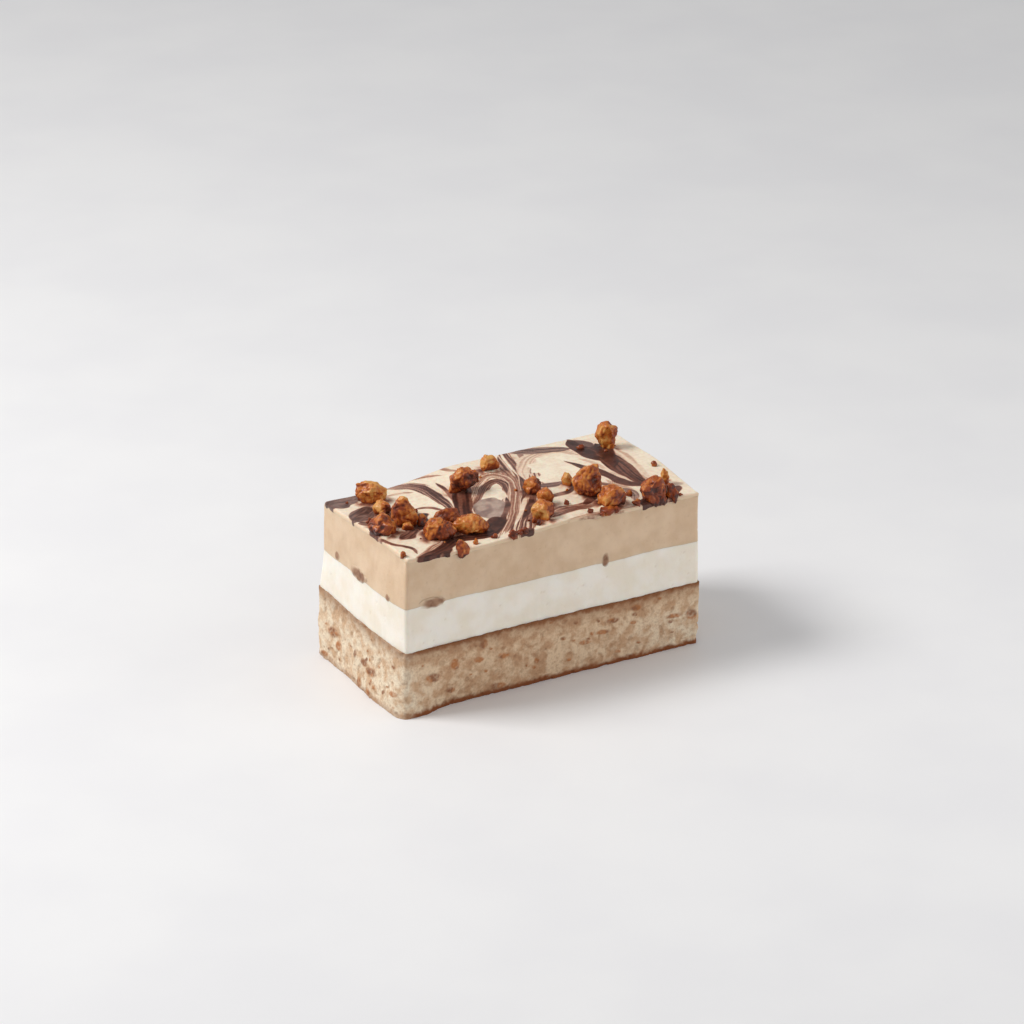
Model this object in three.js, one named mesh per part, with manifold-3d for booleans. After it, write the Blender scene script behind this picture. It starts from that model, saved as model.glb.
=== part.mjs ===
// Walnut slice: one oblong portion of a layered cream cake, as it is cut from the tray.
// From the bottom up it is nut sponge, white cream, tan nut cream and a thin marbled glaze, with
// caramelised walnut pieces on top and a few walnut bits cut through in the cream.
// Millimetres, +Z up. X runs along the long side, Y from the front face to the back one. All of it
// is made about the middle of the plain block, and at the end it is moved so that the origin is
// under the middle of the sagged slice.
import * as THREE from "three";
import { ImprovedNoise } from "three/addons/math/ImprovedNoise.js";
import { mergeVertices } from "three/addons/utils/BufferGeometryUtils.js";
import Module from "manifold-3d";

const wasm = await Module();
wasm.setup();

// ---- Driving dimensions -------------------------------------------------------------------------

const LENGTH = 100; // long side of the cream block
const WIDTH = 51.6; // short side of the cream block
const SPONGE_TOP = 20.4; // heights of the layers above the plate
const WHITE_TOP = 33.7;
const GLAZE_TOP = 49.2; // at the corners of the front face
const GLAZE_THICK = 1.1;
const SEAM = 0.1; // clearance between one layer and the next
const CLEAR = 0.25; // clearance round a piece that is let into another, or rests on it

const SPONGE_PROUD = 0.4; // how far the sponge stands out beyond the cream all round
const CORNER = 0.7; // radius of the upright corners
const CRAG_DEPTH = 0.9; // from the deepest to the highest of the crags in the cut sponge
const CRAG_SIZE = 4.2; // width of one crag

// Soft cake sags: its foot swells out, most at the near left corner, and its top has moved to the
// right. Each face is told as pairs of a height and how far it stands out there, at one end of
// the face and, where the other end differs, at that end too.
const LEFT_NEAR = [[0, 3.1], [SPONGE_TOP, 1.2], [WHITE_TOP, 1.1], [GLAZE_TOP, -0.8]];
const LEFT_FAR = [[0, 1.4], [SPONGE_TOP, 0.5], [WHITE_TOP, 0], [GLAZE_TOP, -0.4]];
const FRONT_NEAR = [[0, 2.1], [8, 0.5], [SPONGE_TOP, 0.2], [WHITE_TOP, 0], [GLAZE_TOP, -0.4]];
const FRONT = [[0, -1.0], [8, -0.3], [SPONGE_TOP, 0], [GLAZE_TOP, -0.4]];
const RIGHT = [[0, 0.7], [SPONGE_TOP, 0.5], [WHITE_TOP, 0.3], [GLAZE_TOP, 0.4]];
const BACK_LEFT = [[0, 0.5], [SPONGE_TOP, 1.2], [WHITE_TOP, -1.2], [GLAZE_TOP, -1.4]];
const BACK = [[0, 0.6], [SPONGE_TOP, 0.2], [WHITE_TOP, -0.1], [GLAZE_TOP, -0.4]];

// ---- Helpers ------------------------------------------------------------------------------------

const clamp = THREE.MathUtils.clamp;
const smooth = THREE.MathUtils.smoothstep;
const bump = (at, middle, reach) => Math.exp(-(((at - middle) / reach) ** 2));

// The same random numbers for the same seed, from 0 to 1.
function randomFrom(seed) {
  let state = seed * 2654435761;
  return () => {
    state = (state + 0x6d2b79f5) | 0;
    let mixed = Math.imul(state ^ (state >>> 15), 1 | state);
    mixed = (mixed + Math.imul(mixed ^ (mixed >>> 7), 61 | mixed)) ^ mixed;
    return ((mixed ^ (mixed >>> 14)) >>> 0) / 4294967296;
  };
}

// Soft lumps in space, one to each step of 1, with values from about -1 to 1.
const field = new ImprovedNoise();
const lumps = (x, y, z) => 1.4 * field.noise(x, y, z);

// A closed geometry as a solid that can be joined to others or cut by them.
function solidOf(geometry) {
  const bare = geometry.clone();
  bare.deleteAttribute("normal");
  bare.deleteAttribute("uv");
  const merged = mergeVertices(bare, 1e-4);
  const triVerts = new Uint32Array(merged.index.array);
  const vertProperties = merged.attributes.position.array;
  return new wasm.Manifold(new wasm.Mesh({ numProp: 3, vertProperties, triVerts }));
}

function geometryOf(solid) {
  const { vertProperties, triVerts } = solid.getMesh();
  const geometry = new THREE.BufferGeometry();
  geometry.setAttribute("position", new THREE.BufferAttribute(vertProperties, 3));
  geometry.setIndex(new THREE.BufferAttribute(triVerts, 1));
  return geometry;
}

// Only the largest of the bodies that a cut leaves.
function withoutScraps(solid) {
  return solid.decompose().reduce((best, next) => (next.volume() > best.volume() ? next : best));
}

// Moves each corner point of a geometry by a rule.
function reshape(geometry, rule) {
  const points = geometry.attributes.position;
  const point = new THREE.Vector3();
  for (let i = 0; i < points.count; i++) {
    point.fromBufferAttribute(points, i);
    rule(point);
    points.setXYZ(i, point.x, point.y, point.z);
  }
  return geometry;
}

// A place given as distances from the near left corner of the top, as the plate is looked at.
const spot = (along, deep) => new THREE.Vector2(along - LENGTH / 2, deep - WIDTH / 2);

// ---- The block's walls and top ------------------------------------------------------------------

const GROUND_MARGIN = 4; // how far a wavy surface runs on past the block
const GROUND_CELL = 5.4; // size of the cells that it is made of
const SEAM_CELL = 9; // the same where the surface is hidden between two layers

// The four corners in turn, as the signs of their X and Y.
const CORNER_SIGNS = [[1, 1], [-1, 1], [-1, -1], [1, -1]];

// The value at a height in a list of pairs of height and value, going smoothly between them.
function profileAt(pairs, z) {
  const above = pairs.findIndex(([height]) => z < height);
  if (above === 0) return pairs[0][1];
  if (above < 0) return pairs.at(-1)[1];
  const [[lowZ, low], [highZ, high]] = [pairs[above - 1], pairs[above]];
  return THREE.MathUtils.lerp(low, high, smooth(z, lowZ, highZ));
}

// The same between two such lists, at a share of the way from the first to the second.
const profileBetween = (first, second, share, z) =>
  THREE.MathUtils.lerp(profileAt(first, z), profileAt(second, z), share);

// The way out of the block at a point of its wall, square to the wall and turning at the corners.
function wayOut(x, y) {
  const reachX = LENGTH / 2 - CORNER;
  const reachY = WIDTH / 2 - CORNER;
  return new THREE.Vector2(x - clamp(x, -reachX, reachX), y - clamp(y, -reachY, reachY)).normalize();
}

// How far a point of the plain LENGTH by WIDTH block's wall is moved, and a distance more.
function wallShift(p, more) {
  const along = p.x + LENGTH / 2;
  const deep = p.y + WIDTH / 2;
  const out = wayOut(p.x, p.y);
  const acrossX =
    out.x < 0 ? profileBetween(LEFT_NEAR, LEFT_FAR, smooth(deep, 14, 38), p.z) : profileAt(RIGHT, p.z);
  const acrossY =
    out.y < 0
      ? profileBetween(FRONT_NEAR, FRONT, smooth(along, 3, 16), p.z)
      : profileBetween(BACK_LEFT, BACK, smooth(along, 12, 40), p.z);
  return new THREE.Vector3(out.x * (acrossX + more), out.y * (acrossY + more), 0);
}

// The glaze isn't level: it swells up towards the far long side and waves along the front edge.
function glazeHeight(x, y) {
  const along = x + LENGTH / 2;
  const deep = y + WIDTH / 2;
  const farSwell = 2.4 * smooth(deep, 1, 25) * smooth(along, 22, 46);
  const frontWave = 1.0 * bump(along, 56, 13) - 0.8 * bump(along, 22, 13);
  const leftSwell = 0.8 * bump(deep, 22, 20) * bump(along, 0, 12);
  const waves = farSwell + leftSwell + frontWave * bump(deep, 0, 12);
  return GLAZE_TOP + waves + 0.25 * lumps(x / 9, y / 9, 0);
}

const creamHeight = (x, y) => glazeHeight(x, y) - GLAZE_THICK;

// The sponge's top waves too: it rises at the far end of the left face and dips near the front.
function spongeHeight(x, y) {
  const along = x + LENGTH / 2;
  const deep = y + WIDTH / 2;
  const farRise = 1.5 * smooth(deep, 34, 47) * (1 - smooth(along, 2, 22));
  const nearDip = 0.5 * bump(along, 9, 9) * bump(deep, 0, 9);
  return SPONGE_TOP + farRise - nearDip + 0.25 * lumps(x / 8, y / 8, 3);
}

// The block's outline: its straight sides in steps of about a given length, and round corners.
function outline(step) {
  const path = new THREE.Shape();
  const reach = new THREE.Vector2(LENGTH / 2 - CORNER, WIDTH / 2 - CORNER);
  const cornerMiddle = (quarter) =>
    new THREE.Vector2(...CORNER_SIGNS[quarter % CORNER_SIGNS.length]).multiply(reach);
  for (let quarter = 0; quarter < CORNER_SIGNS.length; quarter++) {
    const middle = cornerMiddle(quarter);
    const start = (quarter * Math.PI) / 2;
    const end = start + Math.PI / 2;
    path.absarc(middle.x, middle.y, CORNER, start, end, false);

    const offset = new THREE.Vector2(Math.cos(end), Math.sin(end)).multiplyScalar(CORNER);
    const from = middle.clone().add(offset);
    const to = cornerMiddle(quarter + 1).add(offset);
    const steps = Math.round(from.distanceTo(to) / step);
    for (let k = 1; k < steps; k++) {
      const point = from.clone().lerp(to, k / steps);
      path.lineTo(point.x, point.y);
    }
  }
  return path;
}

// A layer of the block between two heights, with its wall moved out by a rule.
function layer(low, high, step, rows, wall) {
  const block = new THREE.ExtrudeGeometry(outline(step), {
    depth: high - low,
    steps: rows,
    curveSegments: 2,
    bevelEnabled: false,
  });
  return reshape(block, (p) => {
    p.z += low;
    p.add(wallShift(p, wall(p)));
  });
}

// Everything from below the slice up to a wavy surface, as a solid wider than the block.
function groundBelow(surface, cell = GROUND_CELL) {
  const [length, width] = [LENGTH + 2 * GROUND_MARGIN, WIDTH + 2 * GROUND_MARGIN];
  const cells = [length, width].map((side) => Math.round(side / cell));
  const box = new THREE.BoxGeometry(length, width, 1, ...cells, 1);
  return solidOf(
    reshape(box, (p) => {
      p.z = p.z > 0 ? surface(p.x, p.y) : -GROUND_MARGIN;
    }),
  );
}

// ---- Layers -------------------------------------------------------------------------------------

// Crags: shallow hollows and knobs all over the sponge's cut faces. They move its wall in and
// out only, so the slice stands on a flat foot.
const crag = (p) => 0.5 * CRAG_DEPTH * lumps(p.x / CRAG_SIZE, p.y / CRAG_SIZE, p.z / CRAG_SIZE);

const FINE_STEP = 2.5; // spacing of the points along the sponge's wall
const COARSE_STEP = 7; // the same along the smooth cream's
const SEAM_WAVE = 2; // how far the sponge's top may lie above or below its usual height
const aboveAll = GLAZE_TOP + 15;
const creamLayer = (low, high, rows) => solidOf(layer(low, high, COARSE_STEP, rows, () => 0));

const craggyWall = (p) => SPONGE_PROUD + crag(p);
const sponge = solidOf(layer(0, SPONGE_TOP + SEAM_WAVE, FINE_STEP, 8, craggyWall)).intersect(
  groundBelow(spongeHeight, SEAM_CELL),
);
const creamBlock = creamLayer(SPONGE_TOP, aboveAll, 6);
const creamTop = groundBelow(creamHeight);
let whiteCream = creamLayer(SPONGE_TOP - SEAM_WAVE, WHITE_TOP, 3).subtract(
  groundBelow((x, y) => spongeHeight(x, y) + SEAM, SEAM_CELL),
);
let nutCream = creamLayer(WHITE_TOP + SEAM, GLAZE_TOP + 4, 3).intersect(creamTop);
const glazeSkin = creamBlock
  .intersect(groundBelow(glazeHeight))
  .subtract(groundBelow((x, y) => creamHeight(x, y) + SEAM));

// The space that the block takes up below a surface, with the clearance that a piece which
// hangs over its edge keeps.
const takenBelow = (surface) =>
  solidOf(layer(0, aboveAll, COARSE_STEP, 9, () => CLEAR)).intersect(groundBelow(surface));

// ---- Broken pieces of nut -----------------------------------------------------------------------

// An uneven lump with broken faces, filling a box of the given size about the origin. A taper
// above 0 makes it narrower at the top, and a lean moves its top along.
function chunk([length, depth, height], seed, fineness = 2, taper = 0.1, lean = 0) {
  const random = randomFrom(seed);
  const faces = Array.from({ length: 8 }, () => ({
    towards: new THREE.Vector3().setFromSphericalCoords(
      1,
      Math.acos(2 * random() - 1),
      2 * Math.PI * random(),
    ),
    reach: 0.66 + 0.3 * random(),
  }));
  const ball = new THREE.IcosahedronGeometry(1, fineness);
  reshape(ball, (p) => {
    let radius = 1;
    for (const { towards, reach } of faces) {
      const facing = p.dot(towards);
      if (facing > 0) radius = Math.min(radius, reach / facing);
    }
    radius *= 1 + 0.22 * lumps(1.6 * p.x + 3 * seed, 1.6 * p.y, 1.6 * p.z);
    p.multiplyScalar(radius);
    p.x *= 1 - taper * p.z;
    p.y *= 1 - taper * p.z;
    p.x += lean * p.z;
  });
  ball.center();
  const span = ball.boundingBox.getSize(new THREE.Vector3());
  return ball.scale(length / span.x, depth / span.y, height / span.z);
}

// The same chunk made larger all round by a clearance.
function grown(geometry, clearance) {
  geometry.computeBoundingBox();
  const span = geometry.boundingBox.getSize(new THREE.Vector3());
  const middle = geometry.boundingBox.getCenter(new THREE.Vector3());
  return geometry
    .clone()
    .translate(-middle.x, -middle.y, -middle.z)
    .scale(...span.toArray().map((side) => 1 + (2 * clearance) / side))
    .translate(middle.x, middle.y, middle.z);
}

// ---- Walnut bits cut through in the cream -------------------------------------------------------

// Each shows flush in one of the four cut faces, across the seam between the creams.
const FACES = {
  front: (along) => new THREE.Vector2(along - LENGTH / 2, -WIDTH / 2),
  back: (along) => new THREE.Vector2(along - LENGTH / 2, WIDTH / 2),
  left: (deep) => new THREE.Vector2(-LENGTH / 2, deep - WIDTH / 2),
  right: (deep) => new THREE.Vector2(LENGTH / 2, deep - WIDTH / 2),
};
const BIT_DEPTH = 5; // how thick a bit is, half of it cut away with the next slice
const BITS = [
  { name: "bit_front_long", face: "front", at: 9.6, z: 34.1, wide: 11.2, high: 3.6 },
  { name: "bit_front_upright", face: "front", at: 67.6, z: 34.6, wide: 3.2, high: 5.2 },
  { name: "bit_left_large", face: "left", at: 27.6, z: 34.6, wide: 12.5, high: 4.6 },
  { name: "bit_left_back", face: "left", at: 41.6, z: 35.2, wide: 3.4, high: 3.6 },
  { name: "bit_left_near", face: "left", at: 9.2, z: 34.3, wide: 3.0, high: 2.8 },
  { name: "bit_back_long", face: "back", at: 31, z: 34.6, wide: 9, high: 3.6 },
  { name: "bit_back_round", face: "back", at: 76, z: 34.0, wide: 5.2, high: 4.2 },
  { name: "bit_right_long", face: "right", at: 19, z: 34.5, wide: 7.6, high: 3.4 },
  { name: "bit_right_small", face: "right", at: 38, z: 35.2, wide: 3.4, high: 2.8 },
];

const bitSolids = new Map();
BITS.forEach(({ name, face, at, z, wide, high }, index) => {
  const place = FACES[face](at);
  const alongX = face === "front" || face === "back";
  const size = alongX ? [wide, BIT_DEPTH, high] : [BIT_DEPTH, wide, high];
  const bit = chunk(size, 40 + index, 1, 0).translate(place.x, place.y, z);
  const pocket = solidOf(grown(bit, CLEAR));
  whiteCream = whiteCream.subtract(pocket);
  nutCream = nutCream.subtract(pocket);
  bitSolids.set(name, withoutScraps(solidOf(bit).intersect(creamBlock)));
});

// ---- Caramelised walnut pieces on the glaze -----------------------------------------------------

// at: distances along and deep from the near left corner; size: length, depth and height;
// turn: degrees about the upright; sunk: how far the foot lies below the glaze's surface, where
// a piece that hangs over the edge reaches lower.
const SUNK = 0.9;
const NUTS = [
  { name: "nut_back_left", at: [12.8, 44.0], size: [9.8, 6.8, 7.4], turn: -24, taper: 0.1, lean: -0.2 },
  { name: "nut_mid_left", at: [11.0, 34.0], size: [5.4, 5.6, 5.2], turn: -10 },
  { name: "nut_edge_left", at: [3.6, 20.6], size: [8.6, 8.0, 6.8], turn: -30 },
  { name: "nut_tall_left", at: [12.8, 23.4], size: [8.2, 7.2, 10.0], turn: -40, taper: 0.2 },
  { name: "nut_low_left", at: [11.4, 19.4], size: [4.2, 3.2, 3.0], turn: -20 },
  { name: "nut_gap_left", at: [17.0, 20.6], size: [3.8, 3.6, 4.6], turn: 30 },
  { name: "nut_flat_front", at: [17.6, 11.4], size: [9.6, 8.2, 7.0], turn: -20 },
  { name: "nut_long_front", at: [27.0, 9.8], size: [11.4, 7.4, 6.4], turn: -34 },
  { name: "nut_red_small", at: [24.8, 19.4], size: [8.2, 5.8, 5.2], turn: -26 },
  { name: "nut_over_front", at: [19.2, 1.2], size: [4.4, 4.2, 6.4], turn: 8, sunk: 3.0 },
  { name: "nut_dark_middle", at: [38.2, 32.8], size: [8.6, 6.6, 9.0], turn: -38, lean: 0.25 },
  { name: "nut_back_middle", at: [52.2, 41.6], size: [6.2, 5.0, 6.0], turn: -28 },
  { name: "nut_centre", at: [54.8, 20.9], size: [6.0, 5.4, 6.0], turn: -20 },
  { name: "nut_amber", at: [49.6, 6.2], size: [6.6, 6.8, 7.0], turn: 24, taper: 0.2 },
  { name: "nut_amber_back", at: [54.6, 13.2], size: [4.4, 4.6, 5.6], turn: 12 },
  { name: "nut_small_right", at: [66.9, 21.0], size: [3.6, 3.6, 4.6], turn: 10 },
  { name: "nut_large_right", at: [69.2, 13.8], size: [9.2, 7.8, 10.0], turn: -34, taper: 0.2 },
  { name: "nut_round_front", at: [72.6, 4.6], size: [9.0, 7.0, 7.2], turn: -28 },
  { name: "nut_large_corner", at: [85.3, 2.9], size: [8.4, 7.4, 9.4], turn: -24, sunk: 2.0 },
  { name: "nut_upright", at: [93.9, 9.8], size: [2.8, 2.8, 6.2], turn: 0 },
  { name: "nut_dark_corner", at: [91.7, 2.0], size: [4.2, 5.0, 6.4], turn: 12, sunk: 2.4 },
  { name: "nut_tall_back", at: [91.8, 39.6], size: [6.8, 5.4, 9.8], turn: -32, taper: 0 },
];

const taken = takenBelow((x, y) => glazeHeight(x, y) + CLEAR);
const nutSolids = new Map();
const nutPockets = [];
NUTS.forEach(({ name, at, size, turn, taper, lean, sunk = SUNK }, index) => {
  const place = spot(...at);
  const foot = glazeHeight(place.x, place.y) - sunk;
  const nut = chunk(size, 7 + index, 2, taper, lean)
    .rotateZ(THREE.MathUtils.degToRad(turn))
    .translate(place.x, place.y, foot + size[2] / 2);
  let solid = solidOf(nut).subtract(taken);
  for (const pocket of nutPockets) solid = solid.subtract(pocket);
  nutSolids.set(name, withoutScraps(solid));
  nutPockets.push(solidOf(grown(nut, CLEAR)));
});

// ---- Crumbs fused to the glaze ------------------------------------------------------------------

// Broken crumbs too small to be pieces of their own: distances along and deep, and their width.
const CRUMBS = [
  [1.0, 3.2, 2.0], [36.8, 0.8, 3.6], [40.4, 1.0, 2.5], [31.2, 3.0, 2.0], [24.6, 2.2, 2.2],
  [46.2, 3.2, 2.8], [67.4, 1.0, 3.0], [71.6, 0.6, 2.3], [79.0, 1.6, 2.5], [63.2, 2.6, 1.8],
  [20.8, 21.6, 2.2], [3.8, 28.4, 2.2], [19.8, 29.6, 1.8], [44.4, 36.4, 1.8], [84.6, 42.6, 2.0],
  [60.4, 10.4, 1.8], [80.2, 8.0, 1.8], [97.0, 20.6, 1.8],
];

const creamTaken = takenBelow((x, y) => creamHeight(x, y) + SEAM);
let glaze = glazeSkin;
CRUMBS.forEach(([along, deep, width], index) => {
  const place = spot(along, deep);
  const height = 0.8 * width;
  const crumb = chunk([width, 0.85 * width, height], 90 + index, 0)
    .rotateZ(index)
    .translate(place.x, place.y, glazeHeight(place.x, place.y) + 0.15 * height);
  let solid = solidOf(crumb).subtract(creamTaken);
  for (const pocket of nutPockets) solid = solid.subtract(pocket);
  if (!solid.isEmpty()) glaze = glaze.add(solid);
});
glaze = withoutScraps(glaze);

// ---- Materials and scene graph ------------------------------------------------------------------

const finish = (color, roughness) =>
  new THREE.MeshStandardMaterial({ color, roughness, metalness: 0 });

const SPONGE = finish(0xd2b48a, 0.95);
const WHITE = finish(0xf0ece0, 0.6);
const TAN = finish(0xd8b993, 0.6);
const MARBLE = finish(0xe6cfae, 0.25);
const CARAMEL = finish(0xa85a22, 0.3);
const WALNUT = finish(0xa08262, 0.7);

const slice = new THREE.Group();
slice.name = "walnut_slice";

const allSolids = [sponge, whiteCream, nutCream, glaze, ...nutSolids.values(), ...bitSolids.values()];
const bounds = new THREE.Box3();
for (const solid of allSolids) {
  const { min, max } = solid.boundingBox();
  bounds.expandByPoint(new THREE.Vector3(...min)).expandByPoint(new THREE.Vector3(...max));
}
const middle = bounds.getCenter(new THREE.Vector3());

function addNode(name, solid, material) {
  const mesh = new THREE.Mesh(geometryOf(solid.translate([-middle.x, -middle.y, 0])), material);
  mesh.name = name;
  slice.add(mesh);
}

addNode("sponge_base", sponge, SPONGE);
addNode("white_cream", whiteCream, WHITE);
addNode("nut_cream", nutCream, TAN);
addNode("marbled_glaze", glaze, MARBLE);
for (const [name, solid] of nutSolids) addNode(name, solid, CARAMEL);
for (const [name, solid] of bitSolids) addNode(name, solid, WALNUT);

export default slice;
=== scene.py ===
# %% [markdown]
# # A slice of walnut cream cake
#
# This lesson dresses a finished construction model of one oblong portion of cake: nut sponge at
# the bottom, then white cream, tan nut cream and a thin marbled glaze, with caramelised walnut
# pieces on top. The construction has the true sizes. Here it gets its looks: a porous crumb,
# soft cream, a swirled pattern and glossy broken nuts.
#
# A cut cake could be sculpted from one block, but then one mesh would need four finishes and
# every layer line would have to be painted. It is made in layers instead, as a baker makes it,
# and each layer has its own mesh and its own finish.

# %% Load the construction
import math
import random

import bmesh
import bpy
import numpy as np
from mathutils import Matrix, Vector, kdtree, noise
from mathutils.bvhtree import BVHTree


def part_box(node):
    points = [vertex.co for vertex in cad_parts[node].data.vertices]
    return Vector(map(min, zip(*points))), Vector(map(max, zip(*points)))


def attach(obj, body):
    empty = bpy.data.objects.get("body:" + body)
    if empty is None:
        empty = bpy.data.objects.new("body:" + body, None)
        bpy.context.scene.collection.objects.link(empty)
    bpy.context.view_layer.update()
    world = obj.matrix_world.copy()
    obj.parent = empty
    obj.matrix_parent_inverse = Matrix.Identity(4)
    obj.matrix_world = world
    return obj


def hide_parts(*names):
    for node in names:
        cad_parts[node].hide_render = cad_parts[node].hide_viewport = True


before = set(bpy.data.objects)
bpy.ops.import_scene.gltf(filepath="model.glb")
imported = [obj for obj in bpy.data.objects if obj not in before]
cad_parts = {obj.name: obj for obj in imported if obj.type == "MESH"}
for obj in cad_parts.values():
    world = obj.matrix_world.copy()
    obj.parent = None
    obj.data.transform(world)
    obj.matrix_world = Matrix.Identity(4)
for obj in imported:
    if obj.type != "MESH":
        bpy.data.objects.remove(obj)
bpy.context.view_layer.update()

# %% [markdown]
# ## Sizes
#
# The frame is in metres, but a cake is easier to think about in millimetres. Every mesh below is
# shaped in millimetres and scaled once, at the end. The height of the white cream is read off the
# frame, and the other main sizes are given. Places on the slice are given as a baker would measure
# them: `along` the long side and `deep` from the front face, both from the near left corner. The
# work goes on about the middle of the block as it was cut. The frame's origin is under the middle
# of the sagged slice, a little to the left, so `SAG_SHIFT` leads from one to the other.

# %% Sizes in millimetres
MM = 0.001
SAG_SHIFT = Vector((1.145, 0.23, 0))
SEED = 7


def to_block(place):
    """A place in the frame, in metres, as a place about the cut block, in millimetres."""
    return place / MM - SAG_SHIFT


def box_mm(node):
    """Lowest and highest corner of a construction node about the block, in millimetres."""
    low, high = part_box(node)
    return to_block(low), to_block(high)


LENGTH = 100.0  # the cream block as it was cut, before it sagged
WIDTH = 51.6
SPONGE_TOP = 20.4
WHITE_TOP = (box_mm("white_cream")[1].z + box_mm("nut_cream")[0].z) / 2
GLAZE_THICK = 1.1
MIDDLE = Vector((0, 0, 0.03))  # of the slice, in metres
print(f"block {LENGTH} by {WIDTH} mm, the white cream ends at {WHITE_TOP:.2f} mm")

# %% [markdown]
# ## The camera
#
# The camera stands well back with a long lens, a little above the slice and to the left of its
# long face. That keeps the upright edges almost parallel, as in a catalogue picture.

# %% Camera
LENS = 175.8
STAND = Vector((-691.5, -1177.5, 627.8)) * MM
LOOK = Vector((0.4660, 0.7928, -0.3929))


def new_object(name, data):
    """An object of the scene that shows some data."""
    made = bpy.data.objects.new(name, data)
    bpy.context.scene.collection.objects.link(made)
    return made


def turn_to(thing, way):
    """Turns a camera or a lamp so that it looks along a way."""
    thing.rotation_mode = "QUATERNION"
    thing.rotation_quaternion = way.to_track_quat("-Z", "Y")


camera = new_object("camera", bpy.data.cameras.new("camera"))
camera.data.lens = LENS
camera.data.sensor_width = 36.0
camera.data.clip_start = 0.05
camera.data.clip_end = 20.0
camera.location = STAND + SAG_SHIFT * MM
turn_to(camera, LOOK)
bpy.context.scene.camera = camera
print("camera", round((STAND - MIDDLE).length, 3), "m from the slice")

# %% [markdown]
# ## Floor and light
#
# Cream looks soft only in soft light. A strong panel high on the left, a little behind the slice,
# lights its short face and its top. A weak one low on the right fills the long face, and a pale
# surround keeps the shadows open. Smaller lamps would give the nuts harder sparks, but also a
# hard shadow, which the slice doesn't have.

# %% Floor, lights and surround
PANEL_SIZE = 0.40
SURROUND = 0.45
FLOOR_HALF = 3.0


def add_light(name, place, power, colour):
    """A square light panel at a place in metres, turned to the slice."""
    data = bpy.data.lights.new(name, "AREA")
    data.size = PANEL_SIZE
    data.energy = power
    data.color = colour
    lamp = new_object(name, data)
    lamp.location = place
    turn_to(lamp, MIDDLE - Vector(place))


def mesh_from(shape, name):
    """A mesh with the faces of a bmesh, which is then let go."""
    mesh = bpy.data.meshes.new(name)
    shape.to_mesh(mesh)
    shape.free()
    return mesh


add_light("key_left", (-0.61, 0.33, 0.775), 7.4, (1.0, 0.985, 0.97))
add_light("fill_front", (0.34, -0.31, 0.14), 0.58, (1.0, 0.98, 0.97))

world = bpy.data.worlds.new("surround")
world.use_nodes = True
background = world.node_tree.nodes["Background"]
background.inputs["Color"].default_value = (1.0, 1.0, 1.0, 1.0)
background.inputs["Strength"].default_value = SURROUND
bpy.context.scene.world = world
bpy.context.scene.view_settings.view_transform = "Standard"

plane = bmesh.new()
bmesh.ops.create_grid(plane, x_segments=1, y_segments=1, size=FLOOR_HALF)
floor_mesh = mesh_from(plane, "floor")
new_object("floor", floor_mesh)
print(f"floor {2 * FLOOR_HALF} m wide, surround of strength {SURROUND}")

# %% [markdown]
# ## Helpers for materials
#
# A material is a small graph. Written out node by node it takes a page, so `add` makes one node
# and fills its inputs: a number or colour is set on the socket, and another node's output is
# linked to it.

# %% Material helpers
def add(tree, kind, inputs=None, **settings):
    """One shader node, with its inputs set to values or linked to other nodes' outputs."""
    made = tree.nodes.new(kind)
    for key, value in settings.items():
        setattr(made, key, value)
    for key, value in (inputs or {}).items():
        if isinstance(value, bpy.types.NodeSocket):
            tree.links.new(value, made.inputs[key])
        else:
            made.inputs[key].default_value = value
    return made


def srgb(red, green, blue):
    """A colour as it is picked on a screen, 0 to 255, turned into the light it stands for."""
    def linear(level):
        level /= 255
        return level / 12.92 if level <= 0.04045 else ((level + 0.055) / 1.055) ** 2.4
    return (linear(red), linear(green), linear(blue), 1.0)


def new_material(name, **values):
    """A material with one Principled shader whose plain values are set on its own sockets."""
    material = bpy.data.materials.new(name)
    material.use_nodes = True
    shader = material.node_tree.nodes["Principled BSDF"]
    for key, value in values.items():
        shader.inputs[key.replace("_", " ")].default_value = value
    return material, material.node_tree, shader


def math_node(tree, operation, first, second):
    return add(tree, "ShaderNodeMath", {0: first, 1: second}, operation=operation).outputs[0]


def times(tree, first, second):
    return math_node(tree, "MULTIPLY", first, second)


def shifted(tree, value, mask, span):
    """A value moved up and down by a mask, over a span in all."""
    return math_node(tree, "ADD", value, times(tree, math_node(tree, "SUBTRACT", mask, 0.5), span))


def blend(tree, share, first, second, most=1.0):
    """Two colours mixed by a share, with at most so much of the second."""
    share = share if most == 1.0 else times(tree, share, most)
    return add(tree, "ShaderNodeMix", {0: share, 6: first, 7: second}, data_type="RGBA").outputs[2]


def ramp_between(tree, value, low, high):
    """0 where a value is at or before low, 1 where it is at or past high, soft in between."""
    made = add(
        tree, "ShaderNodeMapRange", {0: value, 1: low, 2: high}, interpolation_type="SMOOTHSTEP"
    )
    return made.outputs[0]


def attribute(tree, name):
    return add(tree, "ShaderNodeAttribute", attribute_name=name).outputs["Fac"]


def dress(tree, shader, colour, height=None, depth_mm=0.0, strength=0.0):
    """The shader's colour and, from a mask, a relief too fine for the mesh."""
    tree.links.new(colour, shader.inputs["Base Color"])
    if height is not None:
        heights = {"Height": height, "Distance": depth_mm * MM, "Strength": strength}
        relief = add(tree, "ShaderNodeBump", heights)
        tree.links.new(relief.outputs["Normal"], shader.inputs["Normal"])


# %% [markdown]
# ## One effect that every layer shares: mottle
#
# Nothing baked or whipped has one flat colour. A node group gives a soft irregular mask of a
# chosen size in millimetres, from Object coordinates, so it stays put on the piece. The group is
# built once, and each material uses it with its own size and sharpness.

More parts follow.
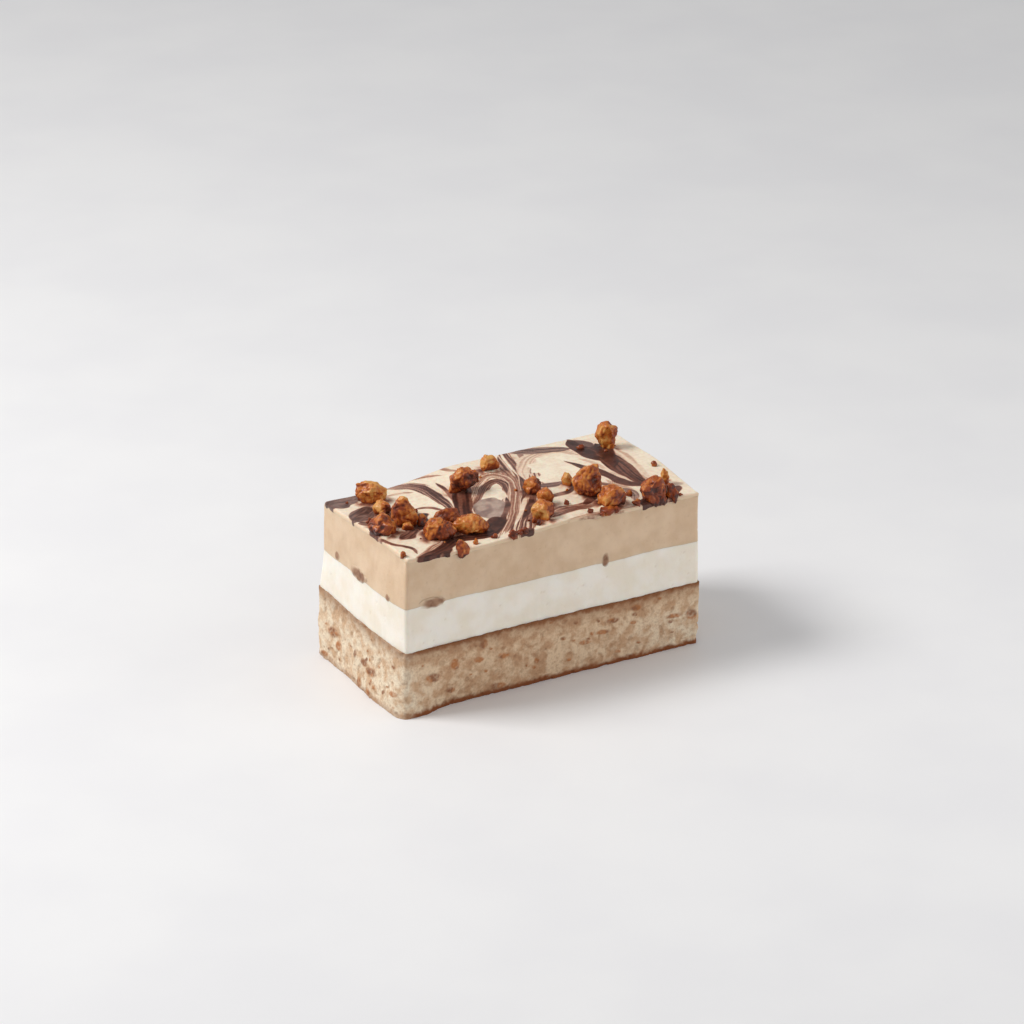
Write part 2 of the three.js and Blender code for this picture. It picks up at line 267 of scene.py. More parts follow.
# %% The mottle group
NOISE_DETAIL = 3.0
mottle = bpy.data.node_groups.new("mottle", "ShaderNodeTree")
for name in ("Size in mm", "From", "To"):
    mottle.interface.new_socket(name, in_out="INPUT", socket_type="NodeSocketFloat")
mottle.interface.new_socket("Mask", in_out="OUTPUT", socket_type="NodeSocketFloat")
given = add(mottle, "NodeGroupInput").outputs
mottle_place = add(mottle, "ShaderNodeTexCoord").outputs["Object"]
mottle_scale = math_node(mottle, "DIVIDE", 1.0 / MM, given["Size in mm"])
mottle_noise = add(
    mottle,
    "ShaderNodeTexNoise",
    {"Vector": mottle_place, "Scale": mottle_scale, "Detail": NOISE_DETAIL},
).outputs["Fac"]
mottle_mask = ramp_between(mottle, mottle_noise, given["From"], given["To"])
add(mottle, "NodeGroupOutput", {"Mask": mottle_mask})
print("mottle group with", len(mottle.nodes), "nodes")


def mottled(tree, size_mm, low, high):
    """The mottle mask in a material, with patches of about a size in millimetres."""
    values = {"Size in mm": size_mm, "From": low, "To": high}
    return add(tree, "ShaderNodeGroup", values, node_tree=mottle).outputs["Mask"]


# %% [markdown]
# ## Helpers for meshes
#
# Each piece starts as a bmesh in millimetres. `new_piece` scales it to metres, smooths its
# shading, gives it its finish, hangs it under the slice's root and hides the node it stands for.
# Patterns that follow the surface are kept as one number for each point of the mesh, which a
# material then reads.

# %% Mesh helpers
def new_piece(name, mesh, material, node):
    """A finished piece of the slice from a mesh in millimetres, in place of a node."""
    mesh.transform(Matrix.Scale(MM, 4) @ Matrix.Translation(SAG_SHIFT))
    mesh.shade_smooth()
    mesh.materials.append(material)
    piece = new_object(name, mesh)
    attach(piece, "root")
    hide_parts(node)
    print(f"{name}: {len(mesh.polygons)} faces")


def points_of(mesh, what="co"):
    """The places of a mesh's points as rows of a table, or their normals."""
    flat = np.empty(len(mesh.vertices) * 3)
    mesh.vertices.foreach_get(what, flat)
    return flat.reshape(-1, 3)


def set_points(mesh, places):
    mesh.vertices.foreach_set("co", places.ravel())
    mesh.update()


def set_numbers(mesh, name, numbers):
    """One number for each point, for a material to read."""
    mesh.attributes.new(name, "FLOAT", "POINT").data.foreach_set("value", numbers)


def lumps(places, size, shift):
    """Soft random lumps of a size in mm at a table of places, from about -1 to 1. Another shift
    gives other lumps."""
    return np.array([noise.noise(Vector(row)) for row in places / size + shift])


def layered(places, layers):
    """Lumps of several sizes together: for each, how strong, its size in mm and its shift."""
    return sum(strength * lumps(places, size, shift) for strength, size, shift in layers)


def smoothstep(value, low, high):
    share = np.clip((value - low) / (high - low), 0, 1)
    return share * share * (3 - 2 * share)


def spots(places, size, shift, low, high):
    """Soft spots: 0 where the lumps are under low, 1 where they are over high."""
    return smoothstep(lumps(places, size, shift), low, high)


# %% [markdown]
# ## Reading the construction's surfaces
#
# The slice sags like any soft cake: its foot swells out and its top waves. All of that is
# already in the construction, so it is read from there with rays instead of being described a
# second time. A ray from above gives the height of a layer's top, and a ray from the side gives
# the place of its wall. The solids have flat faces a few millimetres wide, which would show as
# facets in a glossy surface, so each reading is a mean over a small neighbourhood.

# %% Rays onto the solids
BITS = sorted(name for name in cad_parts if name.startswith("bit_"))
RAY_SPREAD = 2.6
RAY_HEIGHT = 100.0
RAY_MARGIN = 2.0  # the rays from above keep this far off the block's edges


def corners_of(node):
    """The corners of a construction solid about the block, in millimetres."""
    return [to_block(vert.co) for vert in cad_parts[node].data.vertices]


def surface_of(*nodes):
    """A searchable surface, in millimetres, of some of the construction's solids."""
    places, faces = [], []
    for node in nodes:
        first, solid = len(places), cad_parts[node].data
        places += corners_of(node)
        faces += [[first + corner for corner in face.vertices] for face in solid.polygons]
    return BVHTree.FromPolygons(places, faces)


def top_height(surface, x, y):
    """Height of a layer's top at a place, smoothed over a few millimetres."""
    total = 0.0
    for step_x in (-RAY_SPREAD, 0, RAY_SPREAD):
        for step_y in (-RAY_SPREAD, 0, RAY_SPREAD):
            ray_x = max(RAY_MARGIN - LENGTH / 2, min(LENGTH / 2 - RAY_MARGIN, x + step_x))
            ray_y = max(RAY_MARGIN - WIDTH / 2, min(WIDTH / 2 - RAY_MARGIN, y + step_y))
            total += surface.ray_cast(Vector((ray_x, ray_y, RAY_HEIGHT)), Vector((0, 0, -1)))[0].z
    return total / 9


sponge_surface = surface_of("sponge_base")
white_surface = surface_of("white_cream", *BITS)
tan_surface = surface_of("nut_cream", *BITS)
print("cream height at the middle:", round(top_height(tan_surface, 0, 0), 2), "mm")

# %% [markdown]
# ## A path round the block
#
# The cut sides of a layer are one long strip that goes round four corners. It could be four
# separate grids, but their edges would have to be stitched. Here one flat grid, made by the
# create_grid operator, is wrapped round the block, and its two ends are welded. Each column of
# the grid has a place on a rounded path and a way out, square to that path. The path's corners
# are rounder than the cake's, so the columns fan out there and a sharp corner gets enough.

# %% Columns round the block
PATH_CORNER = 3.0
CAKE_CORNER = 0.7
SIDE_X = LENGTH - 2 * PATH_CORNER
SIDE_Y = WIDTH - 2 * PATH_CORNER
ARC = PATH_CORNER * math.pi / 2
PERIMETER = 2 * (SIDE_X + SIDE_Y) + 4 * ARC
HALF = np.array([LENGTH / 2, WIDTH / 2])
FACES = {"front": (0, -1), "right": (1, 0), "back": (0, 1), "left": (-1, 0)}
AXES = {"front": 0, "right": 1, "back": 0, "left": 1}  # the axis along each face
SPANS = (LENGTH, WIDTH)
print(f"the path round the block is {PERIMETER:.1f} mm long")


def path_columns(step):
    """Evenly spaced places on the path, from the front face round to the left one, and the
    ways out of it."""
    count = round(PERIMETER / step)
    places, ways = [], []
    for index in range(count):
        left = index / count * PERIMETER
        for number, (out_x, out_y) in enumerate(FACES.values()):
            straight = SIDE_Y if number % 2 else SIDE_X
            if left < straight + ARC:
                break
            left -= straight + ARC
        angle = math.atan2(out_y, out_x) + max(0.0, left - straight) / PATH_CORNER
        way = (math.cos(angle), math.sin(angle))
        behind = max(0.0, straight - left)
        end_x = (out_x - out_y) * SIDE_X / 2 + out_y * behind
        end_y = (out_y + out_x) * SIDE_Y / 2 - out_x * behind
        places.append((end_x + PATH_CORNER * way[0], end_y + PATH_CORNER * way[1]))
        ways.append(way)
    return np.array(places), np.array(ways)


def plain_reach(ways):
    """How far the plain block's wall stands out from the path: not at all but at the corners."""
    steep = np.abs(ways).min(axis=1)
    flat = np.abs(ways).max(axis=1)
    inner = PATH_CORNER - CAKE_CORNER
    towards = inner * (steep + flat)
    root = np.sqrt(np.maximum(towards**2 - 2 * inner**2 + CAKE_CORNER**2, 0))
    on_face = PATH_CORNER * steep / flat <= inner
    return np.where(on_face, PATH_CORNER / flat, towards + root) - PATH_CORNER


# %% [markdown]
# Where a wall is read, the plain block is taken off first and put back after smoothing. That
# keeps the cake's corners crisp while its bulges lose their facets. A ray that slipped into the
# fine gap round a walnut bit is outvoted: the middle one of five neighbours counts.

# %% Walls read off the construction
WELD = 1e-3  # points nearer to each other than this, in mm, are made one
WALL_LEVELS = 9
WALL_EDGE = 0.03  # the first and the last level keep off a layer's edges by this share
RAY_START = 12.0
NEIGHBOURS = (-6, -3, 0, 3, 6)


def read_wall(surface, places, ways, low, high, spread):
    """How far a layer's wall stands out from the path, for each column and level. The spread
    is how many neighbours on each side a reading is smoothed over."""
    table = np.zeros((len(places), WALL_LEVELS))
    for column, ((x, y), (way_x, way_y)) in enumerate(zip(places, ways)):
        for level in range(WALL_LEVELS):
            share = WALL_EDGE + (1 - 2 * WALL_EDGE) * level / (WALL_LEVELS - 1)
            z = low[column] + share * (high[column] - low[column])
            start = Vector((x + way_x * RAY_START, y + way_y * RAY_START, z))
            hit = surface.ray_cast(start, Vector((-way_x, -way_y, 0)))[3]
            table[column, level] = table[column, level - 1] if hit is None else RAY_START - hit
    plain = plain_reach(ways)[:, None]
    sag = np.median([np.roll(table - plain, step, axis=0) for step in NEIGHBOURS], axis=0)
    around = range(-spread, spread + 1)
    for _ in range(2):
        sag = sum(np.roll(sag, step, axis=0) for step in around) / len(around)
    return plain + sag


def at_level(table, level):
    """The row of a table at a level from 0 to 1, between its own levels too."""
    place = min(max(level, 0.0), 1.0) * (table.shape[1] - 1)
    first = min(int(place), table.shape[1] - 2)
    return table[:, first] + (place - first) * (table[:, first + 1] - table[:, first])


print("walls are read at", WALL_LEVELS, "levels")

# %% A strip round the block
def wrapped_strip(columns, rows, height_at, reach_at):
    """A grid wrapped round the block. Two rules give, for a row from 0 to 1, the heights and
    the reaches of all columns. The strip is still open; its ways out and rows come with it."""
    places, ways = columns
    count = len(places)
    strip = bmesh.new()
    bmesh.ops.create_grid(strip, x_segments=count, y_segments=rows, size=0.5)
    mesh = mesh_from(strip, "strip")
    grid = points_of(mesh)
    column = np.round((grid[:, 0] + 0.5) * count).astype(int) % count
    row = np.round((grid[:, 1] + 0.5) * rows).astype(int)
    heights = np.array([height_at(number / rows) for number in range(rows + 1)])
    reaches = np.array([reach_at(number / rows) for number in range(rows + 1)])
    grid[:, :2] = places[column] + ways[column] * reaches[row, column][:, None]
    grid[:, 2] = heights[row, column]
    set_points(mesh, grid)
    return mesh, ways[column], row / rows


def closed(mesh):
    """The same strip with its ends welded and its two rims capped."""
    strip = bmesh.new()
    strip.from_mesh(mesh)
    bmesh.ops.remove_doubles(strip, verts=strip.verts, dist=WELD)
    rims = [edge for edge in strip.edges if edge.is_boundary]
    bmesh.ops.holes_fill(strip, edges=rims, sides=0)
    bmesh.ops.recalc_face_normals(strip, faces=strip.faces)
    strip.to_mesh(mesh)
    strip.free()
    return mesh


# %% [markdown]
# ## The sponge's crumb
#
# Cut nut sponge is open: round pores of half a millimetre to two, small crumbs that stand out,
# and bits of ground nut. A bump map alone would leave the edges ruler-straight, so the pores are
# real hollows in a fine mesh. Noise above a threshold gives hollows of uneven shape, and two
# sizes of it look more natural than one. The flecks of nut are places on the wall, first those
# that can be seen on the two near faces, and then a seeded scatter for the others.

# %% The sponge's flecks
# For each face: distance along it from its left or its near end, height, half width and half
# height, all in mm
SEEN_FLECKS = {
    "front": [
        (8.5, 10.5, 2.4, 1.5), (16.0, 12.6, 1.5, 1.6), (14.5, 5.0, 1.6, 1.0),
        (24.2, 12.4, 1.7, 1.0), (25.6, 17.4, 1.5, 1.7), (32.5, 12.0, 2.0, 1.0),
        (31.0, 2.4, 2.6, 1.0), (44.0, 7.5, 0.8, 0.9), (53.0, 12.6, 1.0, 0.7),
        (60.5, 9.6, 2.0, 0.8), (66.5, 11.6, 2.2, 0.9), (70.0, 14.6, 2.4, 0.9),
        (78.0, 17.0, 1.8, 1.1), (91.5, 11.2, 3.0, 0.8), (97.6, 10.4, 1.9, 1.8),
    ],
    "left": [
        (42.4, 10.6, 3.1, 1.5), (38.6, 7.6, 1.8, 1.6), (27.6, 9.6, 1.1, 1.4),
        (21.4, 9.2, 2.3, 1.2), (16.8, 8.0, 2.9, 1.4), (24.2, 1.9, 1.8, 1.6),
        (17.6, 1.7, 1.6, 1.1), (47.4, 1.8, 2.0, 0.9), (3.0, 6.6, 1.8, 0.9),
    ],
}
SMALL_FLECKS, SMALL_SIZES = 80, (0.3, 0.65)
LARGE_HIDDEN, LARGE_SIZES = 9, (1, 2.4)
draw = random.Random(SEED)
flecks = [(face, *fleck) for face, seen in SEEN_FLECKS.items() for fleck in seen]
for _ in range(SMALL_FLECKS):
    face = draw.choice(list(FACES))
    span = SPANS[AXES[face]]
    size = draw.uniform(*SMALL_SIZES)
    spot = draw.uniform(1, span - 1), draw.uniform(2, 19)
    flecks.append((face, *spot, size * draw.uniform(1, 2), size))
for face in ("right", "back"):
    for _ in range(LARGE_HIDDEN):
        spot = draw.uniform(2, SPANS[AXES[face]] - 2), draw.uniform(2, 18)
        flecks.append((face, *spot, draw.uniform(*LARGE_SIZES), 1.0))
print(len(flecks), "flecks of nut in the sponge")
FLECK_LEAN = 0.4
FLECK_EDGE = (0.65, 1.25)  # where a fleck begins to fade and where it ends, in its half sizes


def fleck_shares(places, ways):
    """How much of a fleck there is at each point of the sponge's wall, from 0 to 1."""
    shares = np.zeros(len(places))
    for face, along, z, wide, high in flecks:
        axis = AXES[face]
        facing = ways @ np.array(FACES[face]) > 0.5
        off_along = (places[:, axis] + SPANS[axis] / 2 - along) / wide
        off_up = (places[:, 2] - z) / high
        near = np.sqrt(off_along**2 + off_up**2 + FLECK_LEAN * off_along * off_up)
        shares = np.maximum(shares, facing * (1 - smoothstep(near, *FLECK_EDGE)))
    return shares


# %% The sponge
CRUMB_STEP = 0.28
CRUMB_ROWS = 82
LEDGE_FROM = 0.93  # the last rows lie flat on the sponge's top, as a narrow ledge
LEDGE = 2.0
WHITE_OVERLAP = 0.15  # how far the white cream reaches into the rough top of the sponge
CRUMB_LUMPS = ((0.18, 2.6, 11.7), (0.08, 6.5, 3.1), (0.08, 0.9, 23.3))
LARGE_PORE, SMALL_PORE, FLECK_RISE = 0.32, 0.15, 0.22
RIM_DROP = 0.16
# The paler lower ends of the long faces are painted light, from light that bounces up off the
# floor.
LEFT_FADE, RIGHT_FADE = 9, 20  # how far the paler ends of the long faces reach, in mm

crumb_columns = path_columns(CRUMB_STEP)
sponge_tops = np.array([top_height(sponge_surface, x, y) for x, y in crumb_columns[0]])
sponge_wall = read_wall(sponge_surface, *crumb_columns, 0 * sponge_tops, sponge_tops, 3)


def sponge_reach(row):
    ledge = max(0.0, row - LEDGE_FROM) / (1 - LEDGE_FROM)
    return at_level(sponge_wall, row / LEDGE_FROM) - LEDGE * ledge


sponge_mesh, ways_out, rows = wrapped_strip(
    crumb_columns, CRUMB_ROWS, lambda row: sponge_tops * min(row / LEDGE_FROM, 1.0), sponge_reach
)
places = points_of(sponge_mesh)
large_pores = spots(places, 1.9, 41.9, 0.28, 0.62)
small_pores = spots(places, 0.8, 57.3, 0.20, 0.55)
fleck_share = fleck_shares(places, ways_out) * (0.6 + 0.4 * spots(places, 0.8, 71.1, -0.35, 0.1))
pores = np.maximum(0.9 * large_pores, 0.6 * small_pores) * (1 - 0.8 * fleck_share)
relief = layered(places, CRUMB_LUMPS) + FLECK_RISE * fleck_share
relief -= LARGE_PORE * large_pores + SMALL_PORE * small_pores
on_wall = rows <= LEDGE_FROM
places[:, :2] += ways_out * (relief * (0.3 + 0.7 * on_wall))[:, None]
near_rim = smoothstep(rows, LEDGE_FROM - 0.05, LEDGE_FROM)
places[:, 2] -= near_rim * RIM_DROP * spots(places, 1.6, 83.7, -0.2, 0.6)
set_points(sponge_mesh, places)
set_numbers(sponge_mesh, "pore", pores)
set_numbers(sponge_mesh, "fleck", fleck_share)
# Painted light: the short left face, which the key panel lights, is painted paler, and so are the
# lower ends of the long faces, where light bounces up off the floor.
faces_left = smoothstep(-ways_out[:, 0], 0.1, 0.9)
near_left = np.exp(-np.maximum(places[:, 0] + LENGTH / 2, 0) / LEFT_FADE)
near_right = np.exp(-np.maximum(LENGTH / 2 - places[:, 0], 0) / RIGHT_FADE)
low_down = smoothstep(places[:, 2], 18, 9)
painted_light = faces_left + (0.75 * near_left + 1.2 * near_right) * low_down
set_numbers(sponge_mesh, "painted_light", np.minimum(painted_light, 1))
set_numbers(sponge_mesh, "crust", 1 - 0.6 * faces_left)
set_numbers(sponge_mesh, "below_top", SPONGE_TOP * (1 - rows / LEDGE_FROM))
print("crumb relief in mm:", round(float(relief.min()), 2), "to", round(float(relief.max()), 2))

# %% [markdown]
# The crumb's colour goes from a pale yellowish brown to a warm mid brown in soft patches. Pores
# are darker, since they lie in their own shade and hold more of the browned nut. The oven leaves
# a thin darker skin at the top of the sponge and a stronger one at its foot.

# %% The sponge's finish
# The palest crumb colour is painted light, for the lit left face and the lower ends.
CRUMB_PAINTED_LIT = srgb(247, 233, 208)
CRUMB_LIGHT = srgb(229, 199, 165)
CRUMB_MID = srgb(198, 157, 122)
CRUMB_DEEP = srgb(150, 108, 78)
SKIN = srgb(132, 78, 42)
FOOT_SKIN = srgb(138, 80, 46)
FLECK_ORANGE = srgb(180, 112, 62)
FLECK_BROWN = srgb(134, 80, 50)

SKIN_WAVER = 1.1
TOP_SKIN = 1.5  # how far down the dark skin at the top reaches, in mm, and the browned crumb
TOP_BROWN = 5.5
FOOT_SOLID, FOOT_END = 1.2 * MM, 2.9 * MM

sponge_finish, tree, shader = new_material("nut_sponge", Roughness=0.92, Specular_IOR_Level=0.25)
# Painted light: the crumb turns paler where the left face is lit and at the lower ends.
painted_light = attribute(tree, "painted_light")
light = blend(tree, painted_light, CRUMB_LIGHT, CRUMB_PAINTED_LIT, 0.8)
middle = blend(tree, painted_light, CRUMB_MID, CRUMB_LIGHT, 0.6)
crumb = blend(tree, mottled(tree, 3.0, 0.36, 0.66), light, middle)
crumb = blend(tree, mottled(tree, 0.7, 0.44, 0.70), crumb, CRUMB_DEEP, 0.25)
crumb = blend(tree, attribute(tree, "pore"), crumb, CRUMB_DEEP, 0.34)
fleck_colour = blend(tree, mottled(tree, 3.5, 0.45, 0.60), FLECK_ORANGE, FLECK_BROWN)
crumb = blend(tree, attribute(tree, "fleck"), crumb, fleck_colour, 0.85)
object_place = add(tree, "ShaderNodeTexCoord").outputs["Object"]
height = add(tree, "ShaderNodeSeparateXYZ", {0: object_place}).outputs["Z"]
waver = times(tree, mottled(tree, 2.2, 0.2, 0.8), SKIN_WAVER)
below_top = math_node(tree, "SUBTRACT", attribute(tree, "below_top"), waver)
above_foot = math_node(tree, "ADD", height, times(tree, waver, MM))
crumb = blend(tree, ramp_between(tree, below_top, TOP_BROWN, 0.0), crumb, CRUMB_DEEP, 0.48)
crust = attribute(tree, "crust")
top_skin = times(tree, ramp_between(tree, below_top, TOP_SKIN, -0.3), crust)
crumb = blend(tree, top_skin, crumb, SKIN, 0.85)
foot_skin = times(tree, ramp_between(tree, above_foot, FOOT_END, FOOT_SOLID), crust)
crumb = blend(tree, foot_skin, crumb, FOOT_SKIN)
dress(tree, shader, crumb, mottled(tree, 0.35, 0.3, 0.7), depth_mm=0.12, strength=0.8)

new_piece("sponge", closed(sponge_mesh), sponge_finish, "sponge_base")

# %% [markdown]
# ## The two creams
#
# Set cream is cut with a hot knife, so its faces are nearly smooth: a faint drag downwards, a
# few pinholes where air was whipped in, and a line between the colours that wanders by a
# fraction of a millimetre. Both layers use the same wandering line, so no gap opens there.

# %% The creams
CREAM_STEP = 0.5
CREAM_SPREAD = 7
SEAM_WANDER = ((0.35, 11, 2.2), (0.14, 2.6, 6.1))
KNIFE_DRAG = 0.06
DRAG_STRETCH = (1, 1, 0.12)  # the drag of the knife runs upright, so its lumps are tall
WALL_WAVE = 0.12
PINHOLE = 0.22

cream_columns = path_columns(CREAM_STEP)
seam_low = np.array([top_height(sponge_surface, x, y) for x, y in cream_columns[0]])
cream_tops = np.array([top_height(tan_surface, x, y) for x, y in cream_columns[0]])


def seam_height(flat):
    """Height of the wandering line between the creams at a table of places."""
    return WHITE_TOP + layered(flat, SEAM_WANDER)


seam_middle = seam_height(cream_columns[0] @ np.eye(2, 3))
level_white = 0 * seam_middle + WHITE_TOP
white_wall = read_wall(white_surface, *cream_columns, seam_low, level_white, CREAM_SPREAD)
tan_wall = read_wall(tan_surface, *cream_columns, level_white, cream_tops, CREAM_SPREAD)
seam_step = (tan_wall[:, :1] - white_wall[:, -1:]) / 2
white_wall += seam_step * np.linspace(0, 1, WALL_LEVELS) ** 2
tan_wall -= seam_step * np.linspace(1, 0, WALL_LEVELS) ** 2


def cream_layer(low, high, wall, rows):
    """A layer of cream between two rows of heights, with the marks of the knife on its wall."""
    mesh, ways, row = wrapped_strip(
        cream_columns,
        rows,
        lambda level: low + (high - low) * level,
        lambda level: at_level(wall, level),
    )
    places = points_of(mesh)
    drag = KNIFE_DRAG * lumps(places * DRAG_STRETCH, 1.4, 5.5) + WALL_WAVE * lumps(places, 9.0, 8.8)
    off_edges = smoothstep(row * (1 - row), 0.03, 0.08)
    pinholes = spots(places, 1.0, 31.4, 0.60, 0.76) * off_edges
    places[:, :2] += ways * (drag - PINHOLE * pinholes)[:, None]
    set_points(mesh, places)
    set_numbers(mesh, "pinhole", pinholes)
    return closed(mesh)


white_mesh = cream_layer(seam_low - WHITE_OVERLAP, seam_middle, white_wall, 26)
tan_mesh = cream_layer(seam_middle, cream_tops, tan_wall, 32)

# %% [markdown]
# Cream lets light in a little way, which softens its shade and warms it. Subsurface scattering
# over about a millimetre does that; more would turn it to wax.

# %% The creams' finish
WHITE_PALE = srgb(247, 240, 229)
WHITE_DEEP = srgb(240, 230, 213)
TAN_PALE = srgb(225, 198, 168)
TAN_DEEP = srgb(212, 182, 150)
# The colour of the nut specks in the cream, and of the painted shade in its pinholes.
CREAM_SPECK_AND_SHADE = srgb(190, 160, 128)
RIM_ANGLE = 55  # a layer's rim stays a crisp edge, or its shading would darken the seam


def cream_finish(name, pale, deep, speck):
    material, tree, shader = new_material(
        name,
        Roughness=0.55,
        Specular_IOR_Level=0.35,
        Subsurface_Weight=0.35,
        Subsurface_Scale=0.0015,
        Subsurface_Radius=(1.0, 0.7, 0.45),
    )
    colour = blend(tree, mottled(tree, 7.0, 0.3, 0.7), pale, deep)
    colour = blend(tree, mottled(tree, 0.8, 0.62, 0.74), colour, CREAM_SPECK_AND_SHADE, speck)
    # Painted shade: the pinholes are darkened, as if they lay in their own shade.
    colour = blend(tree, attribute(tree, "pinhole"), colour, CREAM_SPECK_AND_SHADE, 0.25)
    dress(tree, shader, colour, mottled(tree, 0.6, 0.3, 0.7), depth_mm=0.04, strength=0.5)
    return material


white_finish = cream_finish("white_cream", WHITE_PALE, WHITE_DEEP, 0.06)
tan_finish = cream_finish("nut_cream", TAN_PALE, TAN_DEEP, 0.30)
for name, mesh, finish, node in (
    ("cream_white", white_mesh, white_finish, "white_cream"),
    ("cream_tan", tan_mesh, tan_finish, "nut_cream"),
):
    new_piece(name, mesh, finish, node)
    mesh.set_sharp_from_angle(angle=math.radians(RIM_ANGLE))
